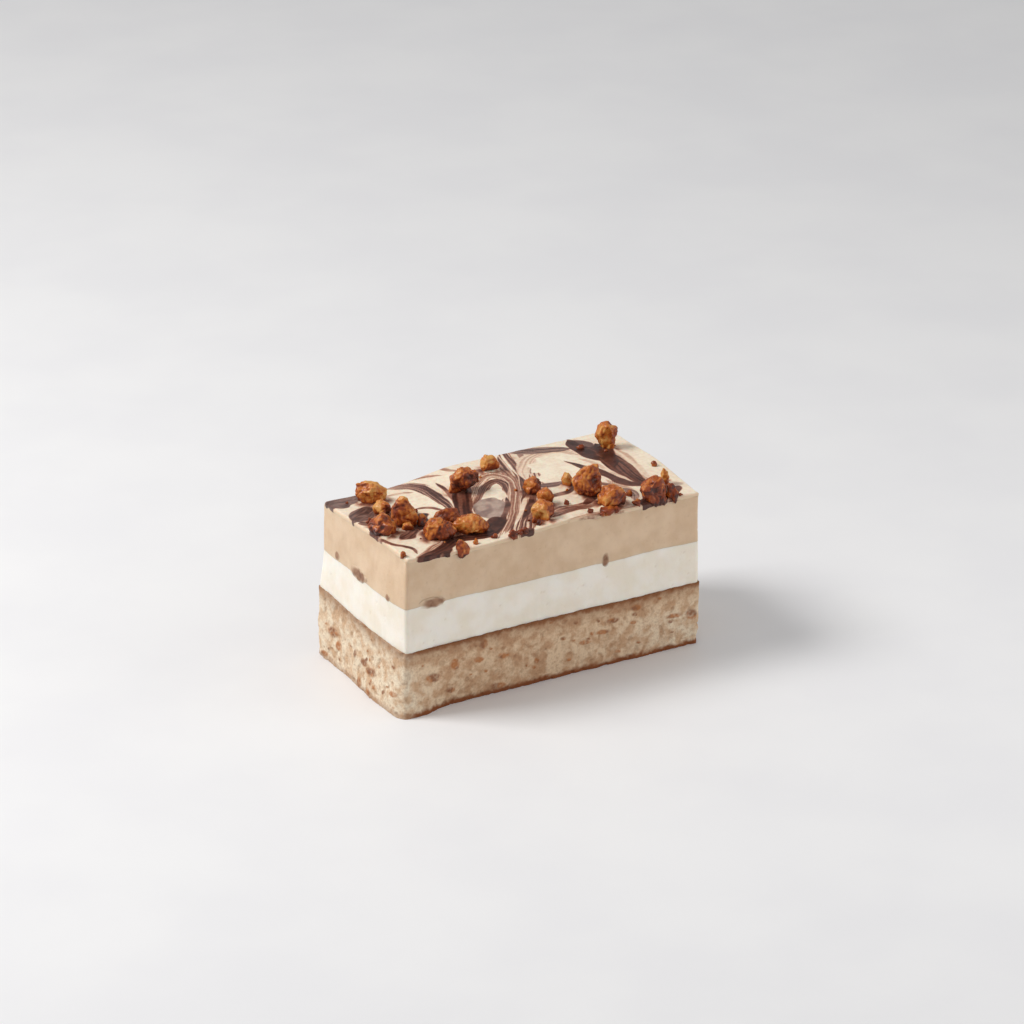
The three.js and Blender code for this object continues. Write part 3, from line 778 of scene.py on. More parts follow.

# %% [markdown]
# ## The marbling
#
# The baker pours pale glaze, drips chocolate on it and draws a stick through both. That leaves
# pools, single streaks, and ribbons of thin lines that bend round the pools. Each of them is one
# entry here: a few points that a smooth curve goes through, a half width in the middle, and the
# tones it may have, from pale at 0 to the darkest chocolate at 1. A ribbon has stripes, which
# run along it and draw together where it narrows, as they do when a stick drags them. An entry
# of two points is a pool. They are painted in order, each over those before it.

# %% The streaks of the marbling
# Points along and deep, half width, lightest and darkest tone, stripes, and how much grey painted
# reflection of the sky lies on it
STREAKS = [
    # the band of lines through the middle
    ([(36, -3), (42, 6), (48, 14), (53, 22), (57.5, 32), (60.5, 42),
      (63, 54)], 6.2, 0.20, 0.86, 9, 0.05),
    ([(55.5, 43), (55, 37), (53.5, 31), (50.5, 25), (46, 17), (40.5, 9),
      (35, 3)], 1.7, 0.40, 0.72, 2, 0),
    ([(61.6, 53), (60, 45), (59, 41), (57, 34)], 0.75, 0.02, 0.10, 0, 0),
    ([(63, 53), (61.6, 46), (60.6, 41), (59, 36), (56, 27.5)], 1.2, 0.60, 1.0, 2, 0.2),
    ([(65, 53), (63.8, 45), (62.5, 40), (60.5, 34)], 0.9, 0.14, 0.26, 0, 0),
    ([(66.8, 53), (66, 46), (64, 39), (61, 33)], 0.9, 0.56, 0.74, 0, 0.3),
    ([(56, 22), (50, 14), (47, 11), (43, 7)], 1.1, 0.72, 0.95, 0, 0.1),
    ([(53, 20.5), (48.2, 15), (44, 10.4), (40, 6)], 0.7, 0.04, 0.14, 0, 0),
    ([(45, 6), (49, 9), (53, 12)], 1.6, 0.45, 0.75, 2, 0),
    ([(39, -1), (42.5, 1.6)], 1.3, 0.80, 0.95, 0, 0.2),
    # the eye and its arches
    ([(31, 17), (35, 23.5), (40, 30), (44.5, 35), (49, 38), (52, 36.5), (52.4, 31), (48, 21.6),
      (42, 13), (36, 6.4), (31, 1)], 2.1, 0.16, 0.60, 4, 0),
    ([(33.6, 18), (38, 24), (41.5, 28), (45.5, 32), (49.4, 33.4), (50.4, 30.4),
      (48, 24)], 1.6, 0.46, 1.0, 3, 0.1),
    ([(36.4, 21.5), (41, 25.6), (44.6, 28), (46.8, 27), (46.2, 22),
      (43, 15)], 1.0, 0.03, 0.12, 0, 0),
    ([(36, 14), (42.4, 22.8)], 4.5, 0.44, 0.64, 0, 0.7),
    ([(36.6, 9.4), (40.8, 13.2), (44.6, 17.6), (46.6, 22)], 0.9, 0.68, 0.95, 0, 0.2),
    # back left
    ([(-2, 47.6), (11, 48.4)], 4.6, 0.68, 0.92, 3, 0.5),
    ([(1.2, 46.6), (5, 43.6)], 2.4, 0.72, 0.86, 0, 0.6),
    ([(1.6, 34.2), (8.4, 38.6)], 4.0, 0.72, 0.96, 3, 0.45),
    ([(2.0, 32.8), (6.4, 34)], 2.2, 0.72, 0.88, 2, 0.5),
    ([(13, 52.2), (19.5, 51.4), (24, 49.6), (28.2, 46.6), (30.2, 42), (30.4, 36), (30, 29.5),
      (29, 19)], 2.1, 0.34, 0.94, 4, 0.2),
    ([(31.4, 45), (32.8, 37), (32.7, 31), (30.6, 21.5)], 0.7, 0.03, 0.10, 0, 0),
    ([(34.6, 44), (34.6, 38.5), (34, 33.4), (31.4, 22)], 0.8, 0.6, 0.9, 0, 0),
    ([(40, 52.5), (42, 48.5), (45, 45.5)], 0.8, 0.34, 0.52, 0, 0),
    ([(24, 53), (30, 51), (35, 49.4), (39, 46.6)], 0.9, 0.30, 0.56, 2, 0),
    ([(18, 45), (23, 44.6), (26.6, 42.6)], 0.7, 0.26, 0.46, 0, 0),
    ([(20.6, 32.4), (25, 30.6), (27.6, 25.6)], 0.8, 0.50, 0.7, 0, 0),
    ([(27.6, 13), (31, 19.6), (34, 26), (37, 32), (43, 40)], 3.0, 0.74, 1.0, 2, 0),
    # left
    ([(1, 30), (5, 28), (9, 27)], 2.0, 0.45, 0.85, 2, 0.2),
    ([(12, 38), (15, 41)], 2.0, 0.14, 0.24, 0, 0),
    ([(7, 24), (12, 32)], 2.6, 0.74, 0.95, 0, 0),
    ([(13, 18), (20, 26)], 3.4, 0.84, 1.0, 0, 0.2),
    ([(6.5, 13.4), (13, 17.6)], 2.2, 0.62, 0.9, 2, 0.1),
    ([(14, 41), (17.6, 47)], 1.8, 0.66, 0.9, 0, 0.1),
    ([(20, 15), (27, 20)], 3.4, 0.80, 1.0, 2, 0),
    ([(0.4, 19.5), (1.4, 14), (2.4, 11), (4.6, 8.4), (5.8, 6), (5.2, 3)], 0.75, 0.6, 0.85, 0, 0),
    # front left
    ([(1, -1.4), (8.5, 2.7), (12, 5.2), (18, 8.4)], 1.3, 0.30, 0.6, 2, 0),
    ([(1, -1.4), (6, 0.4), (10, 1.5), (14, 3.2), (18, 5.8), (22, 7.4), (27, 6), (32, 5.4),
      (37, 8.6), (41, 13.2)], 1.9, 0.84, 1.0, 3, 0),
    ([(9, -1.6), (12.5, -0.3), (17, 3)], 0.9, 0.70, 0.95, 0, 0),
    ([(33, 8), (37.6, 12)], 2.5, 0.90, 1.0, 0, 0),
    # the large pale pool and what surrounds it
    ([(57.6, 28.5), (59.4, 34.5), (63, 39.6), (67, 43.6), (72, 45.4), (78, 44.4),
      (81.5, 38)], 2.4, 0.14, 0.34, 3, 0),
    ([(66, 26.6), (74.6, 38)], 8.0, 0.0, 0.06, 0, 0),
    ([(64, 50.6), (70, 48.4), (76, 46.4), (82, 43.6)], 2.2, 0.58, 0.92, 3, 0.5),
    ([(57, 24.6), (60, 23.6), (63.5, 22.8), (68, 23)], 1.4, 0.64, 0.84, 2, 0.5),
    ([(57, 16), (61, 16.4), (65, 16.8), (69, 19)], 1.0, 0.60, 0.84, 0, 0.2),
    ([(54, 9.8), (59, 9), (63.5, 8.6), (68, 9.4)], 0.8, 0.55, 0.72, 0, 0),
    ([(48, 4), (54, 6.4), (60, 7.2), (68, 6.4)], 2.3, 0.30, 0.76, 3, 0),
    ([(50, -1), (57, 0.4), (66, 1.2), (76, 0.6), (84, 1)], 1.0, 0.30, 0.60, 2, 0),
    ([(72, 14), (70.2, 11), (67.6, 9.4), (64.6, 8)], 1.3, 0.66, 0.9, 0, 0),
    ([(45, 1), (53, 2.4), (62, 1.8)], 1.3, 0.04, 0.12, 0, 0),
    # right
    ([(92, 38), (92.4, 31), (91, 24), (90.4, 17), (91.6, 12)], 2.4, 0.14, 0.34, 2, 0),
    ([(84.4, 51), (86, 43), (87.6, 34), (87.6, 26), (87.4, 18), (89, 9)], 3.6, 0.72, 1.0, 5, 0.0),
    ([(84.0, 50), (83.8, 42), (84.4, 31)], 2.4, 0.92, 1.0, 0, 0),
    ([(90.4, 44), (89.6, 36), (86, 25)], 2.5, 0.90, 1.0, 0, 0),
    # a grey painted highlight on the dark pool
    ([(86.4, 48.8), (88.4, 43.4)], 1.6, 0.74, 0.84, 0, 0.5),
    ([(79.6, 38), (81.6, 31.4), (83, 25), (84, 20), (86, 14)], 0.8, 0.12, 0.26, 0, 0),
    ([(75, 37), (77.6, 29.5), (79.4, 26), (81.2, 21.6), (82.6, 16.6), (85, 13),
      (90, 10)], 1.7, 0.82, 1.0, 2, 0.1),
    ([(79, 19), (80.5, 15), (83.6, 10.4)], 0.9, 0.20, 0.40, 2, 0),
    ([(74.6, 18.6), (78, 16), (79.8, 12.6), (82.6, 8.8)], 1.0, 0.56, 0.78, 0, 0.2),
    ([(80.6, 12.6), (82, 8.4), (80.4, 4.6)], 1.4, 0.40, 0.76, 2, 0.4),
    ([(80.6, -0.4), (85, 2.4), (91.5, 3.8)], 3.2, 0.90, 1.0, 0, 0.1),
    ([(90, 4), (96, 5.6)], 2.4, 0.76, 0.95, 0, 0.1),
    # a pale grey painted shadow of the dark corner nut
    ([(95, 8.4), (98.4, 7.6)], 1.0, 0.16, 0.26, 0, 0.6),
]
print(len(STREAKS), "streaks, ribbons and pools in the marbling")

# %% [markdown]
# To paint them, every point of the glaze is set against every curve: how far to its side it lies,
# and how far along. Inside a streak the point takes its tone, and outside it keeps what it had.
# The points are worked out together, as tables, because one at a time would take minutes.

# %% Painting the marbling
CURVE_STEPS = 8
SOFT_EDGE = 0.2
POOL_END = 0.35  # a pool goes past its two points by this share of its half width
POOL_UNEVEN, STREAK_UNEVEN = 0.45, 0.25
TAPER = 3.5  # the higher, the nearer to its ends a streak begins to narrow
STRIPE_RATE = 1.6
WARP_ALONG = ((0.5, 8, 3.3), (0.2, 3, 9.1))
WARP_DEEP = ((0.5, 8, 17.7), (0.2, 3, 27.9))
PALE_TONE = 0.05


def smooth_curve(points):
    """Places on a curve that goes smoothly through a few points."""
    knots = np.array(points, dtype=float)
    knots = np.vstack([2 * knots[0] - knots[1], knots, 2 * knots[-1] - knots[-2]])
    share = np.arange(CURVE_STEPS)[:, None] / CURVE_STEPS
    pieces = []
    for before, start, end, after in zip(knots, knots[1:], knots[2:], knots[3:]):
        bend = 2 * before - 5 * start + 4 * end - after
        twist = after - before + 3 * (start - end)
        pieces.append(start + 0.5 * share * (end - before + share * (bend + share * twist)))
    return np.vstack([*pieces, knots[-2]])


def beside_curve(places, points):
    """For each place, how far it lies to the side of a curve, its share of the way along the
    curve, and its plain distance."""
    curve = smooth_curve(points)
    steps = curve[1:] - curve[:-1]
    off_x = places[:, :1] - curve[:-1, 0]
    off_y = places[:, 1:2] - curve[:-1, 1]
    share = np.clip((off_x * steps[:, 0] + off_y * steps[:, 1]) / (steps**2).sum(axis=1), 0, 1)
    distance = np.hypot(off_x - share * steps[:, 0], off_y - share * steps[:, 1])
    near = distance.argmin(axis=1)
    row = np.arange(len(near))
    side = np.sign(steps[near, 0] * off_y[row, near] - steps[near, 1] * off_x[row, near])
    return distance[row, near] * side, (near + share[row, near]) / len(steps), distance[row, near]


def streak_edge(places, points, half_width, sideways, share, distance, number):
    """How far each place lies inside a streak or pool, in millimetres, negative outside."""
    if len(points) == 2:
        start, end = np.array(points)
        length = np.linalg.norm(end - start)
        half_length = length / 2 + POOL_END * half_width
        way_x, way_y = (end - start) / length
        from_middle = places[:, :2] - (start + end) / 2
        lengthwise = from_middle @ (way_x, way_y) / half_length
        ratio = np.hypot(lengthwise, from_middle @ (-way_y, way_x) / half_width)
        ratio *= 1 + POOL_UNEVEN * lumps(places, 4.2, number * 2.9)
        return (1 - ratio) * min(half_length, half_width)
    taper = 1 - np.abs(2 * share - 1) ** TAPER
    uneven = 1 + STREAK_UNEVEN * lumps(places, 6.0, number * 1.7)
    past_end = (share <= 0) | (share >= 1)
    return np.where(past_end, -distance, half_width * taper * uneven - np.abs(sideways))


def marbling(places):
    """The tone of the glaze and its grey painted reflection at a table of places in mm. The drawn
    places are warped a little, so that no curve is too smooth."""
    flat = places * (1, 1, 0)
    warped = flat + (LENGTH / 2, WIDTH / 2, 0)
    warped[:, 0] += layered(flat, WARP_ALONG)
    warped[:, 1] += layered(flat, WARP_DEEP)
    tone = PALE_TONE + PALE_TONE * lumps(flat, 6, 5.2)
    reflected_grey = np.zeros(len(flat))
    for number, (points, half_width, lightest, darkest, stripes, reflected_greyness) in enumerate(STREAKS):
        reach = 1.4 * half_width + 1  # past this no streak shows, however uneven
        low, high = np.min(points, axis=0) - reach, np.max(points, axis=0) + reach
        near = np.all((warped[:, :2] > low) & (warped[:, :2] < high), axis=1)
        around = warped[near]
        sideways, share, distance = beside_curve(around, points)
        edge = streak_edge(around, points, half_width, sideways, share, distance, number)
        inside = smoothstep(edge, -SOFT_EDGE, SOFT_EDGE)
        if stripes:
            across = sideways / half_width * stripes
            pattern = np.stack([across, share, 0 * share], axis=1) * STRIPE_RATE
            pattern[:, 2] += number * 3.7
        else:
            pattern = around / 3
        mix = spots(pattern, 1.0, 0.4, -0.3, 0.3)
        tone[near] += inside * (lightest + (darkest - lightest) * mix - tone[near])
        reflected_grey[near] += inside * (reflected_greyness - reflected_grey[near])
    return tone, reflected_grey


# %% [markdown]
# ## The glaze
#
# The glaze is a thin sheet: a fine grid for its top, whose rim is extruded down over the cream
# in a few rows. The rim is rounded, and where the knife dragged it, it hangs a little lower.
# Around each nut it climbs by a fraction of a millimetre, as any sticky liquid does.

# %% Where the nuts touch the glaze
NUTS = sorted(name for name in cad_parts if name.startswith("nut_") and name != "nut_cream")
FOOT_BAND = 1.0
feet = []
for name in NUTS:
    low = box_mm(name)[0].z
    feet += [spot for spot in corners_of(name) if spot.z < low + FOOT_BAND]
nut_feet = kdtree.KDTree(len(feet))
for spot in feet:
    nut_feet.insert(Vector((spot.x, spot.y, 0)), 0)
nut_feet.balance()
print(len(NUTS), "pieces of nut on the glaze, with", len(feet), "places at their feet")

# %% The glaze
GLAZE_STEP = 0.25
GLAZE_SKIRT = 4
RIM_ROUND = 0.45
RIM_WIDTH = 0.6
GLAZE_PROUD, GLAZE_INSET = 0.07, 0.03  # how far it stands out over the cream, and ends inside it
GLAZE_SWELL = ((0.10, 5.0, 61.3), (0.04, 1.6, 67.7))
CLIMB, CLIMB_WIDTH = 0.40, 0.8  # of the glaze round each nut
# Round each nut's foot the glaze turns darker: chocolate that gathers there, and painted shade
# where the nut touches it.
CHOCOLATE_AND_SHADE, CHOCOLATE_AND_SHADE_WIDTH = 0.85, 1.9  # of the chocolate that gathers there, as a tone
RIDGE = 0.05  # how far the chocolate stands up
HANG = 0.15  # how far the rim's end hangs below the glaze's own thickness, at the least
HANG_DRIPS, HANG_DARK = 0.35, 0.6  # how much further in places, and where the chocolate runs over
RIM_PALE = 0.35


def glaze_height(x, y):
    return top_height(tan_surface, x, y) + GLAZE_THICK


def face_shift(face, places):
    """How far a face's top edge has moved out beside each of a table of places."""
    columns, ways = cream_columns
    on_face = ways @ np.array(FACES[face]) > 0.999
    axis = AXES[face]
    order = np.argsort(columns[on_face, axis])
    return np.interp(places[:, axis], columns[on_face, axis][order], tan_wall[on_face, -1][order])


sheet = bmesh.new()
counts = [round(span / GLAZE_STEP) for span in SPANS]
bmesh.ops.create_grid(sheet, x_segments=counts[0], y_segments=counts[1], size=0.5)
bmesh.ops.scale(sheet, vec=(LENGTH, WIDTH, 1), verts=sheet.verts)
for row in range(GLAZE_SKIRT):
    rim = [edge for edge in sheet.edges if edge.is_boundary]
    grown = bmesh.ops.extrude_edge_only(sheet, edges=rim)["geom"]
    lowered = [item for item in grown if isinstance(item, bmesh.types.BMVert)]
    bmesh.ops.translate(sheet, vec=(0, 0, -1), verts=lowered)
rim = [edge for edge in sheet.edges if edge.is_boundary]
bmesh.ops.holes_fill(sheet, edges=rim, sides=0)
bmesh.ops.recalc_face_normals(sheet, faces=sheet.faces)
glaze_mesh = mesh_from(sheet, "glaze")

print("glaze sheet with", len(glaze_mesh.polygons), "faces")

# %% The glaze's form
places = points_of(glaze_mesh)
skirt = -places[:, 2] / GLAZE_SKIRT  # 0 on the top, 1 at the lower end of the skirt
inner = np.clip(places[:, :2], -HALF + CAKE_CORNER, HALF - CAKE_CORNER)
past_inner = places[:, :2] - inner
far = np.linalg.norm(past_inner, axis=1)
inner_far = np.maximum(far, 1e-6)
places[:, :2] = inner + past_inner * (np.minimum(far, CAKE_CORNER) / inner_far)[:, None]
on_rim = far > CAKE_CORNER - 1e-3
outward = past_inner / inner_far[:, None] * on_rim[:, None]
to_rim = np.where(far > 0, CAKE_CORNER - np.minimum(far, CAKE_CORNER), CAKE_CORNER)

share = places[:, :2] / SPANS + 0.5
high_side = np.stack([face_shift("right", places), face_shift("back", places)], axis=1)
low_side = np.stack([face_shift("left", places), face_shift("front", places)], axis=1)
places[:, :2] += high_side * share - low_side * (1 - share)
flat = places * (1, 1, 0)

tone, reflected_grey = marbling(places)
surface = np.array([glaze_height(x, y) for x, y in places[:, :2]])
ridge = RIDGE * smoothstep(tone, 0.2, 0.9)
foot_gap = np.array([nut_feet.find(Vector((x, y, 0)))[2] for x, y in places[:, :2]])
climb = CLIMB * np.exp(-((foot_gap / CLIMB_WIDTH) ** 2))
# Darker glaze round the nuts' feet: gathered chocolate and painted shade.
chocolate_and_shade = np.exp(-((foot_gap / CHOCOLATE_AND_SHADE_WIDTH) ** 2)) * spots(flat, 3.4, 47.1, -0.45, 0.15)
tone = np.maximum(tone, CHOCOLATE_AND_SHADE * chocolate_and_shade)
at_rim = 1 - smoothstep(to_rim, 0.0, RIM_WIDTH)
hang = HANG + HANG_DRIPS * spots(flat, 3.1, 91.7, 0.0, 0.6)
hang += HANG_DARK * smoothstep(tone, 0.55, 0.9)
places[:, 2] = surface + layered(flat, GLAZE_SWELL) + ridge + climb - RIM_ROUND * at_rim**2
places[:, 2] -= skirt * (GLAZE_THICK - RIM_ROUND + hang)
proud = GLAZE_PROUD - (GLAZE_PROUD + GLAZE_INSET) * skirt**3
places[:, :2] += outward * proud[:, None]
set_points(glaze_mesh, places)
set_numbers(glaze_mesh, "tone", tone)
set_numbers(glaze_mesh, "reflected_grey", reflected_grey)
set_numbers(glaze_mesh, "rim", np.maximum(skirt, RIM_PALE * at_rim))
lowest, highest = places[:, 2].min(), places[:, 2].max()
print(f"glaze from {lowest:.1f} to {highest:.1f} mm")

# %% [markdown]
# The finish turns the tone into a colour. Pale glaze and chocolate mix through a pinkish brown,
# and where grey is set, through greys, a painted reflection of the sky on the chocolate. Fine
# noise shifts the tone a little first, so that no streak is flat. On the rim, where the knife went
# through, the pale glaze can hardly be told from the cream below it.

# %% The glaze's finish
GLAZE_TONES = [
    (0.0, srgb(246, 233, 209)),
    (0.2, srgb(226, 196, 170)),
    (0.4, srgb(190, 146, 122)),
    (0.6, srgb(146, 96, 76)),
    (0.8, srgb(102, 58, 44)),
    (1.0, srgb(60, 30, 22)),
]
# Greys for the painted reflection of the sky on the chocolate.
REFLECTED_GREY_TONES = [
    (0.0, srgb(236, 226, 208)),
    (0.3, srgb(196, 178, 164)),
    (0.6, srgb(150, 132, 124)),
    (0.8, srgb(112, 92, 86)),
    (1.0, srgb(74, 58, 54)),
]
RIM_TAN = srgb(226, 199, 168)


def tone_ramp(tree, value, tones):
    """A colour for each value between the given tones."""
    made = add(tree, "ShaderNodeValToRGB", {0: value})
    while len(made.color_ramp.elements) < len(tones):
        made.color_ramp.elements.new(0.5)
    for element, (place, colour) in zip(made.color_ramp.elements, tones):
        element.position = place
        element.color = colour
    return made.outputs[0]


glaze_finish, tree, shader = new_material(
    "marbled_glaze",
    Roughness=0.42,
    Specular_IOR_Level=0.32,
    Coat_Weight=0.07,
    Coat_Roughness=0.2,
    Subsurface_Weight=0.15,
    Subsurface_Scale=0.0008,
)
tone = shifted(tree, attribute(tree, "tone"), mottled(tree, 1.2, 0.25, 0.75), 0.10)
brown, reflected_grey = tone_ramp(tree, tone, GLAZE_TONES), tone_ramp(tree, tone, REFLECTED_GREY_TONES)
colour = blend(tree, attribute(tree, "reflected_grey"), brown, reflected_grey)
on_rim = ramp_between(tree, attribute(tree, "rim"), 0.0, 0.4)
pale = ramp_between(tree, tone, 0.7, 0.4)
colour = blend(tree, times(tree, on_rim, pale), colour, RIM_TAN)
dress(tree, shader, colour, tone, depth_mm=0.08, strength=0.5)
new_piece("glaze", glaze_mesh, glaze_finish, "marbled_glaze")

# %% [markdown]
# ## The caramelised nuts
#
# A broken walnut piece is lumpy, with hollows and sharp broken faces, and a coat of caramel
# rounds all of it off and pools in the hollows. Each piece starts as a copy of its construction
# solid, so it keeps its size and place. A voxel remesh gives it even, fine faces, and noise along
# its normals then makes the lumps. The foot is drawn down into the glaze, so no gap shows.

# %% Nut shapes
VOXEL = 0.27
NUT_SINK = 0.45
FOOT_HEIGHT = 1.8


def refined_copy(name, voxel):
    """A construction solid as a closed mesh of fine, even faces, in millimetres."""
    solid = bmesh.new()
    solid.from_mesh(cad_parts[name].data)
    for vert in solid.verts:
        vert.co = to_block(vert.co)
    bmesh.ops.remove_doubles(solid, verts=solid.verts, dist=WELD)
    helper = new_object(name + "_copy", mesh_from(solid, name + "_copy"))
    remesh = helper.modifiers.new("even faces", "REMESH")
    remesh.mode = "VOXEL"
    remesh.voxel_size = voxel
    graph = bpy.context.evaluated_depsgraph_get()
    fine = bpy.data.meshes.new_from_object(helper.evaluated_get(graph))
    bpy.data.objects.remove(helper)
    return fine


# How dark each piece was roasted, from blond at 0 to nearly black at 1, and the side, in degrees
# round from the right end, towards which it is darker, as it is underneath
ROAST = {
    "nut_back_left": (0.08, 200),
    "nut_mid_left": (0.24, 280),
    "nut_edge_left": (0.48, 225),
    "nut_tall_left": (0.34, 190),
    "nut_low_left": (0.26, 280),
    "nut_gap_left": (0.45, 270),
    "nut_flat_front": (0.44, 300),
    "nut_long_front": (0.35, 330),
    "nut_red_small": (0.60, 60),
    "nut_over_front": (0.46, 200),
    "nut_dark_middle": (0.40, 260),
    "nut_back_middle": (0.12, 300),
    "nut_centre": (0.50, 320),
    "nut_amber": (0.28, 330),
    "nut_amber_back": (0.44, 0),
    "nut_small_right": (0.14, 320),
    "nut_large_right": (0.38, 310),
    "nut_round_front": (0.34, 300),
    "nut_large_corner": (0.52, 250),
    "nut_upright": (0.08, 280),
    "nut_dark_corner": (0.62, 300),
    "nut_tall_back": (0.20, 285),
}
ROAST_USUAL = (0.45, 270)
CRACK = 0.22
DARK_SIDE_MORE, ROAST_OFFSET = 0.44, 0.06


def lumpy(mesh, seed):
    """Lumps, hollows and shallow cracks over a refined nut, along its normals."""
    places, ways = points_of(mesh), points_of(mesh, "normal")
    cracks = smoothstep(1 - 5 * np.abs(lumps(places, 2.4, seed * 3.1)), 0.1, 1.0)
    reach = layered(places, ((0.52, 2.6, seed * 5.3), (0.26, 1.1, seed * 7.9))) - CRACK * cracks
    set_points(mesh, places + ways * reach[:, None])
    return cracks


# %% Nut finish
NUT_BLOND = srgb(216, 156, 84)
NUT_AMBER = srgb(194, 108, 38)
NUT_BROWN = srgb(138, 58, 20)
NUT_BLACK = srgb(70, 26, 14)

nut_finish, tree, shader = new_material(
    "caramel_nut",
    Roughness=0.40,
    Specular_IOR_Level=0.32,
    Coat_Weight=0.16,
    Coat_Roughness=0.16,
    Subsurface_Weight=0.12,
    Subsurface_Scale=0.0008,
)
tone = shifted(tree, attribute(tree, "roast"), mottled(tree, 3.6, 0.32, 0.68), 0.50)
tone = shifted(tree, tone, mottled(tree, 0.8, 0.3, 0.7), 0.18)
# Painted shade: the tone is darker in the cracks and towards the foot, where the nut meets the
# glaze.
for name, darker in (("crease", 0.10), ("foot", 0.34)):
    tone = math_node(tree, "ADD", tone, times(tree, attribute(tree, name), darker))
colour = blend(tree, ramp_between(tree, tone, 0.0, 0.35), NUT_BLOND, NUT_AMBER)
colour = blend(tree, ramp_between(tree, tone, 0.30, 0.68), colour, NUT_BROWN)
colour = blend(tree, ramp_between(tree, tone, 0.66, 1.05), colour, NUT_BLACK)
dress(tree, shader, colour, mottled(tree, 0.5, 0.3, 0.7), depth_mm=0.08, strength=0.6)
print("caramel finish with", len(tree.nodes), "nodes")

# %% Nuts in place
for number, name in enumerate(NUTS, start=1):
    nut_mesh = refined_copy(name, VOXEL)
    crease = lumpy(nut_mesh, number)
    places = points_of(nut_mesh)
    low = places[:, 2].min()
    foot = 1 - smoothstep(places[:, 2], low, low + FOOT_HEIGHT)
    places[:, 2] -= NUT_SINK * foot
    set_points(nut_mesh, places)
    set_numbers(nut_mesh, "crease", crease)
    set_numbers(nut_mesh, "foot", foot)
    roast, dark_side = ROAST.get(name, ROAST_USUAL)
    turn = math.radians(dark_side)
    # Each piece is darker towards its listed side and underneath.
    facing = points_of(nut_mesh, "normal") @ (math.cos(turn), math.sin(turn), -0.5)
    dark_share = smoothstep(facing + 0.5 * lumps(places, 3.0, number * 2.3), 0.0, 0.9)
    set_numbers(nut_mesh, "roast", roast - ROAST_OFFSET + DARK_SIDE_MORE * dark_share)
    new_piece(name + "_caramel", nut_mesh, nut_finish, name)

# %% [markdown]
# ## Crumbs of nut on the glaze
#
# The larger crumbs are already in the construction, fused to the glaze. Their places are found
# there: any point of that solid that stands clear of the surface belongs to one. A wide crumb
# may come out as two or three lumps. Finer crumbs are scattered near the nuts with a seeded
# draw. A crumb is an icosphere of a few dozen faces with its points moved, and all of them are
# joined into one piece.

# %% Finding the crumbs
CRUMB_RISE = 0.32
CRUMB_LEVEL = 45
CRUMB_REACH = 2.4
clusters = []
for spot in corners_of("marbled_glaze"):
    lifted = spot.z > glaze_height(spot.x, spot.y) + CRUMB_RISE
    outside = spot.z > CRUMB_LEVEL and spot.y < -WIDTH / 2 + 0.1
    if not (lifted or outside):
        continue
    for cluster in clusters:
        if (cluster[0].xy - spot.xy).length < CRUMB_REACH:
            cluster.append(spot)
            break
    else:
        clusters.append([spot])
print(len(clusters), "lumps of crumb found on the construction's glaze")

# %% Making the crumbs
LEAST_WIDE, LEAST_HIGH, LEAST_TALL = 1.4, 0.8, 1.2  # of a found crumb; the last is with its foot
GROWN, SUNK = 0.3, 0.6  # how much wider it is made, and how far its foot goes into the glaze
OVAL = 0.85
FINE_CRUMBS, FINE_SIZES = 44, (0.4, 1.1)
FINE_NEAR, FINE_FAR = 0.4, 4.5  # how near to a nut's foot a fine crumb lies, in mm
FINE_LIFT = 0.25


def add_crumb(target, middle, size, seed):
    """One small broken bit of nut, added to a bmesh."""
    made = bmesh.ops.create_icosphere(target, subdivisions=2, radius=0.5)["verts"]
    for vert in made:
        lump = noise.noise(vert.co * 3.1 + Vector((seed * 1.7, 0, 0)))
        vert.co *= 1 + 0.8 * lump
    turned = Matrix.Rotation(seed, 3, (0.4, 0.3, 0.85))
    bmesh.ops.rotate(target, verts=made, cent=(0, 0, 0), matrix=turned)
    bmesh.ops.scale(target, vec=size, verts=made)
    bmesh.ops.translate(target, vec=middle, verts=made)


crumbs = bmesh.new()
for number, cluster in enumerate(clusters):
    low = Vector([min(spot[axis] for spot in cluster) for axis in range(3)])
    high = Vector([max(spot[axis] for spot in cluster) for axis in range(3)])
    middle = (low + high) / 2
    wide = max(high.x - low.x, high.y - low.y, LEAST_WIDE) + GROWN
    top = max(high.z, low.z + LEAST_HIGH)
    tall = max(top - glaze_height(middle.x, middle.y) + SUNK, LEAST_TALL)
    middle.z = top - tall / 2
    add_crumb(crumbs, middle, (wide, wide * OVAL, tall), number + 1)

draw = random.Random(SEED + 1)
scattered = 0
while scattered < FINE_CRUMBS:
    x = draw.uniform(-LENGTH / 2 + 2, LENGTH / 2 - 2)
    y = draw.uniform(-WIDTH / 2 + 1, WIDTH / 2 - 2)
    near = nut_feet.find(Vector((x, y, 0)))[2]
    if near < FINE_NEAR or near > draw.uniform(FINE_NEAR, FINE_FAR):
        continue
    size = draw.uniform(*FINE_SIZES)
    height = glaze_height(x, y) + FINE_LIFT * size
    sides = (size, size * draw.uniform(0.7, 1), size * 0.8)
    add_crumb(crumbs, (x, y, height), sides, scattered + 40)
    scattered += 1
crumb_mesh = mesh_from(crumbs, "crumbs")
places = points_of(crumb_mesh)
set_numbers(crumb_mesh, "crease", spots(places, 0.8, 4.4, 0.1, 0.6))
set_numbers(crumb_mesh, "foot", np.zeros(len(places)))
set_numbers(crumb_mesh, "roast", 0.58 + 0.35 * lumps(places, 3.0, 6.6))
new_piece("nut_crumbs", crumb_mesh, nut_finish, "marbled_glaze")

# %% [markdown]
# ## Walnut bits in the cut faces
#
# The knife goes through a few pieces of walnut that lie between the creams. They end flush with
# the cut, greyish brown, and the knife wipes a film of cream over them, so their outlines are
# soft. Each is a refined copy of its solid, moved out by a tenth of a millimetre.

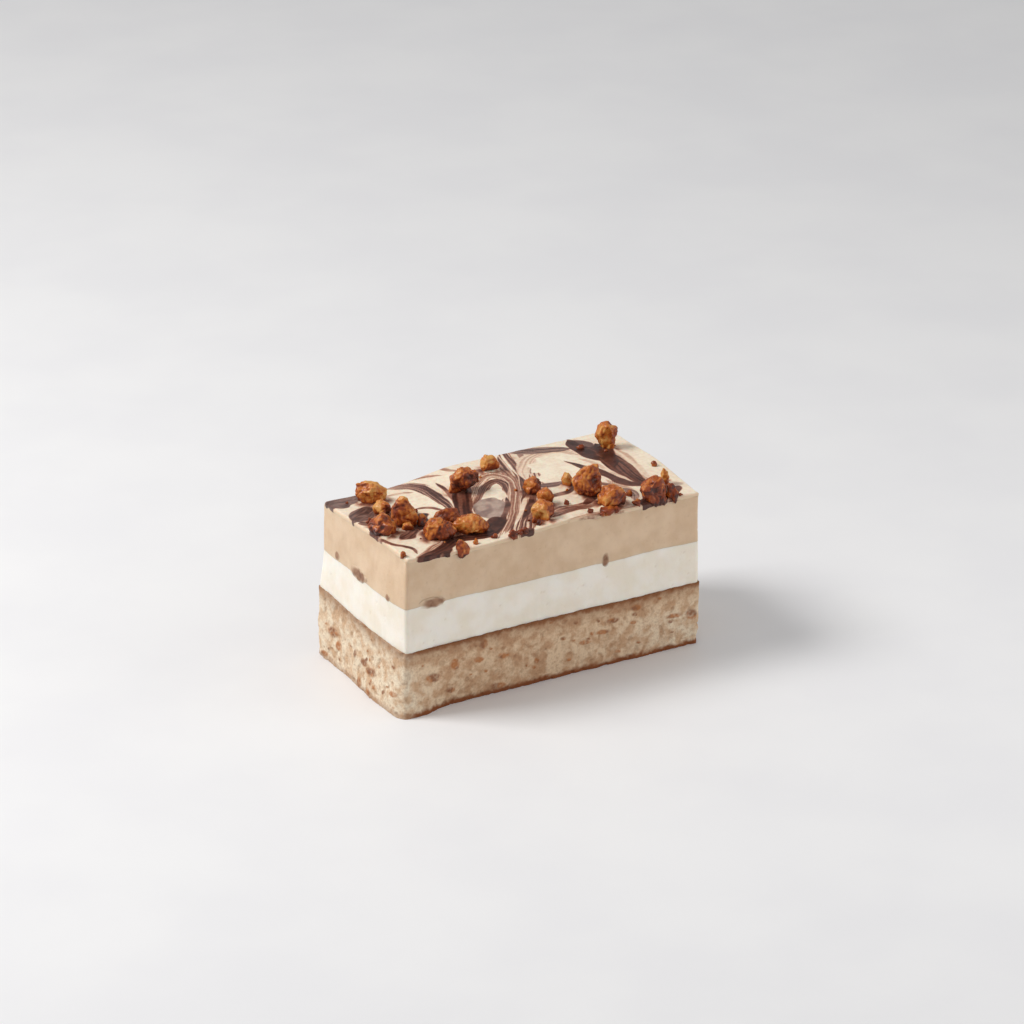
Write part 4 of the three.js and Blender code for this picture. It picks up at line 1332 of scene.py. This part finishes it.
# %% Bits
BIT_PROUD = 0.10
BIT_ROUGH = 0.04
BIT_VOXEL = 0.24
FILM = 0.9
END_BAND = 4  # a bit whose middle is this near to an end of the slice lies in that end's face
BIT_PALE = srgb(170, 132, 104)
BIT_DARK = srgb(124, 86, 64)

bit_finish, tree, shader = new_material("cut_walnut", Roughness=0.6, Specular_IOR_Level=0.3)
colour = blend(tree, mottled(tree, 2.2, 0.30, 0.70), BIT_DARK, BIT_PALE)
film_colour = blend(tree, attribute(tree, "on_tan"), WHITE_DEEP, TAN_PALE)
dress(tree, shader, blend(tree, attribute(tree, "film"), colour, film_colour, FILM))

for number, name in enumerate(BITS, start=1):
    bit_mesh = refined_copy(name, BIT_VOXEL)
    places = points_of(bit_mesh)
    low, high = places.min(axis=0), places.max(axis=0)
    middle = (low + high) / 2
    axis = 0 if abs(middle[0]) > LENGTH / 2 - END_BAND else 1
    side = math.copysign(1, middle[axis])
    beside = [1 - axis, 2]
    edge = np.linalg.norm((places - middle)[:, beside] / ((high - low)[beside] / 2), axis=1)
    places[:, axis] += side * BIT_PROUD * (1 - smoothstep(edge, 0.7, 1.0))
    places[:, axis] += side * BIT_ROUGH * lumps(places, 1.4, number)
    set_points(bit_mesh, places)
    film = smoothstep(edge + 0.3 * lumps(places, 1.7, number * 3.0), 0.45, 1.08)
    set_numbers(bit_mesh, "film", film)
    above_seam = places[:, 2] - seam_height(places * (1, 1, 0))
    set_numbers(bit_mesh, "on_tan", smoothstep(above_seam, -0.15, 0.15))
    new_piece(name + "_cut", bit_mesh, bit_finish, name)

# %% [markdown]
# ## The floor's finish
#
# The floor is a plain pale surface with a very faint unevenness.

# %% Floor finish
floor_finish, tree, shader = new_material("pale_floor", Roughness=0.5, Specular_IOR_Level=0.2)
tone = blend(tree, mottled(tree, 60.0, 0.3, 0.7), srgb(240, 240, 241), srgb(236, 236, 238))
dress(tree, shader, tone)
floor_mesh.materials.append(floor_finish)
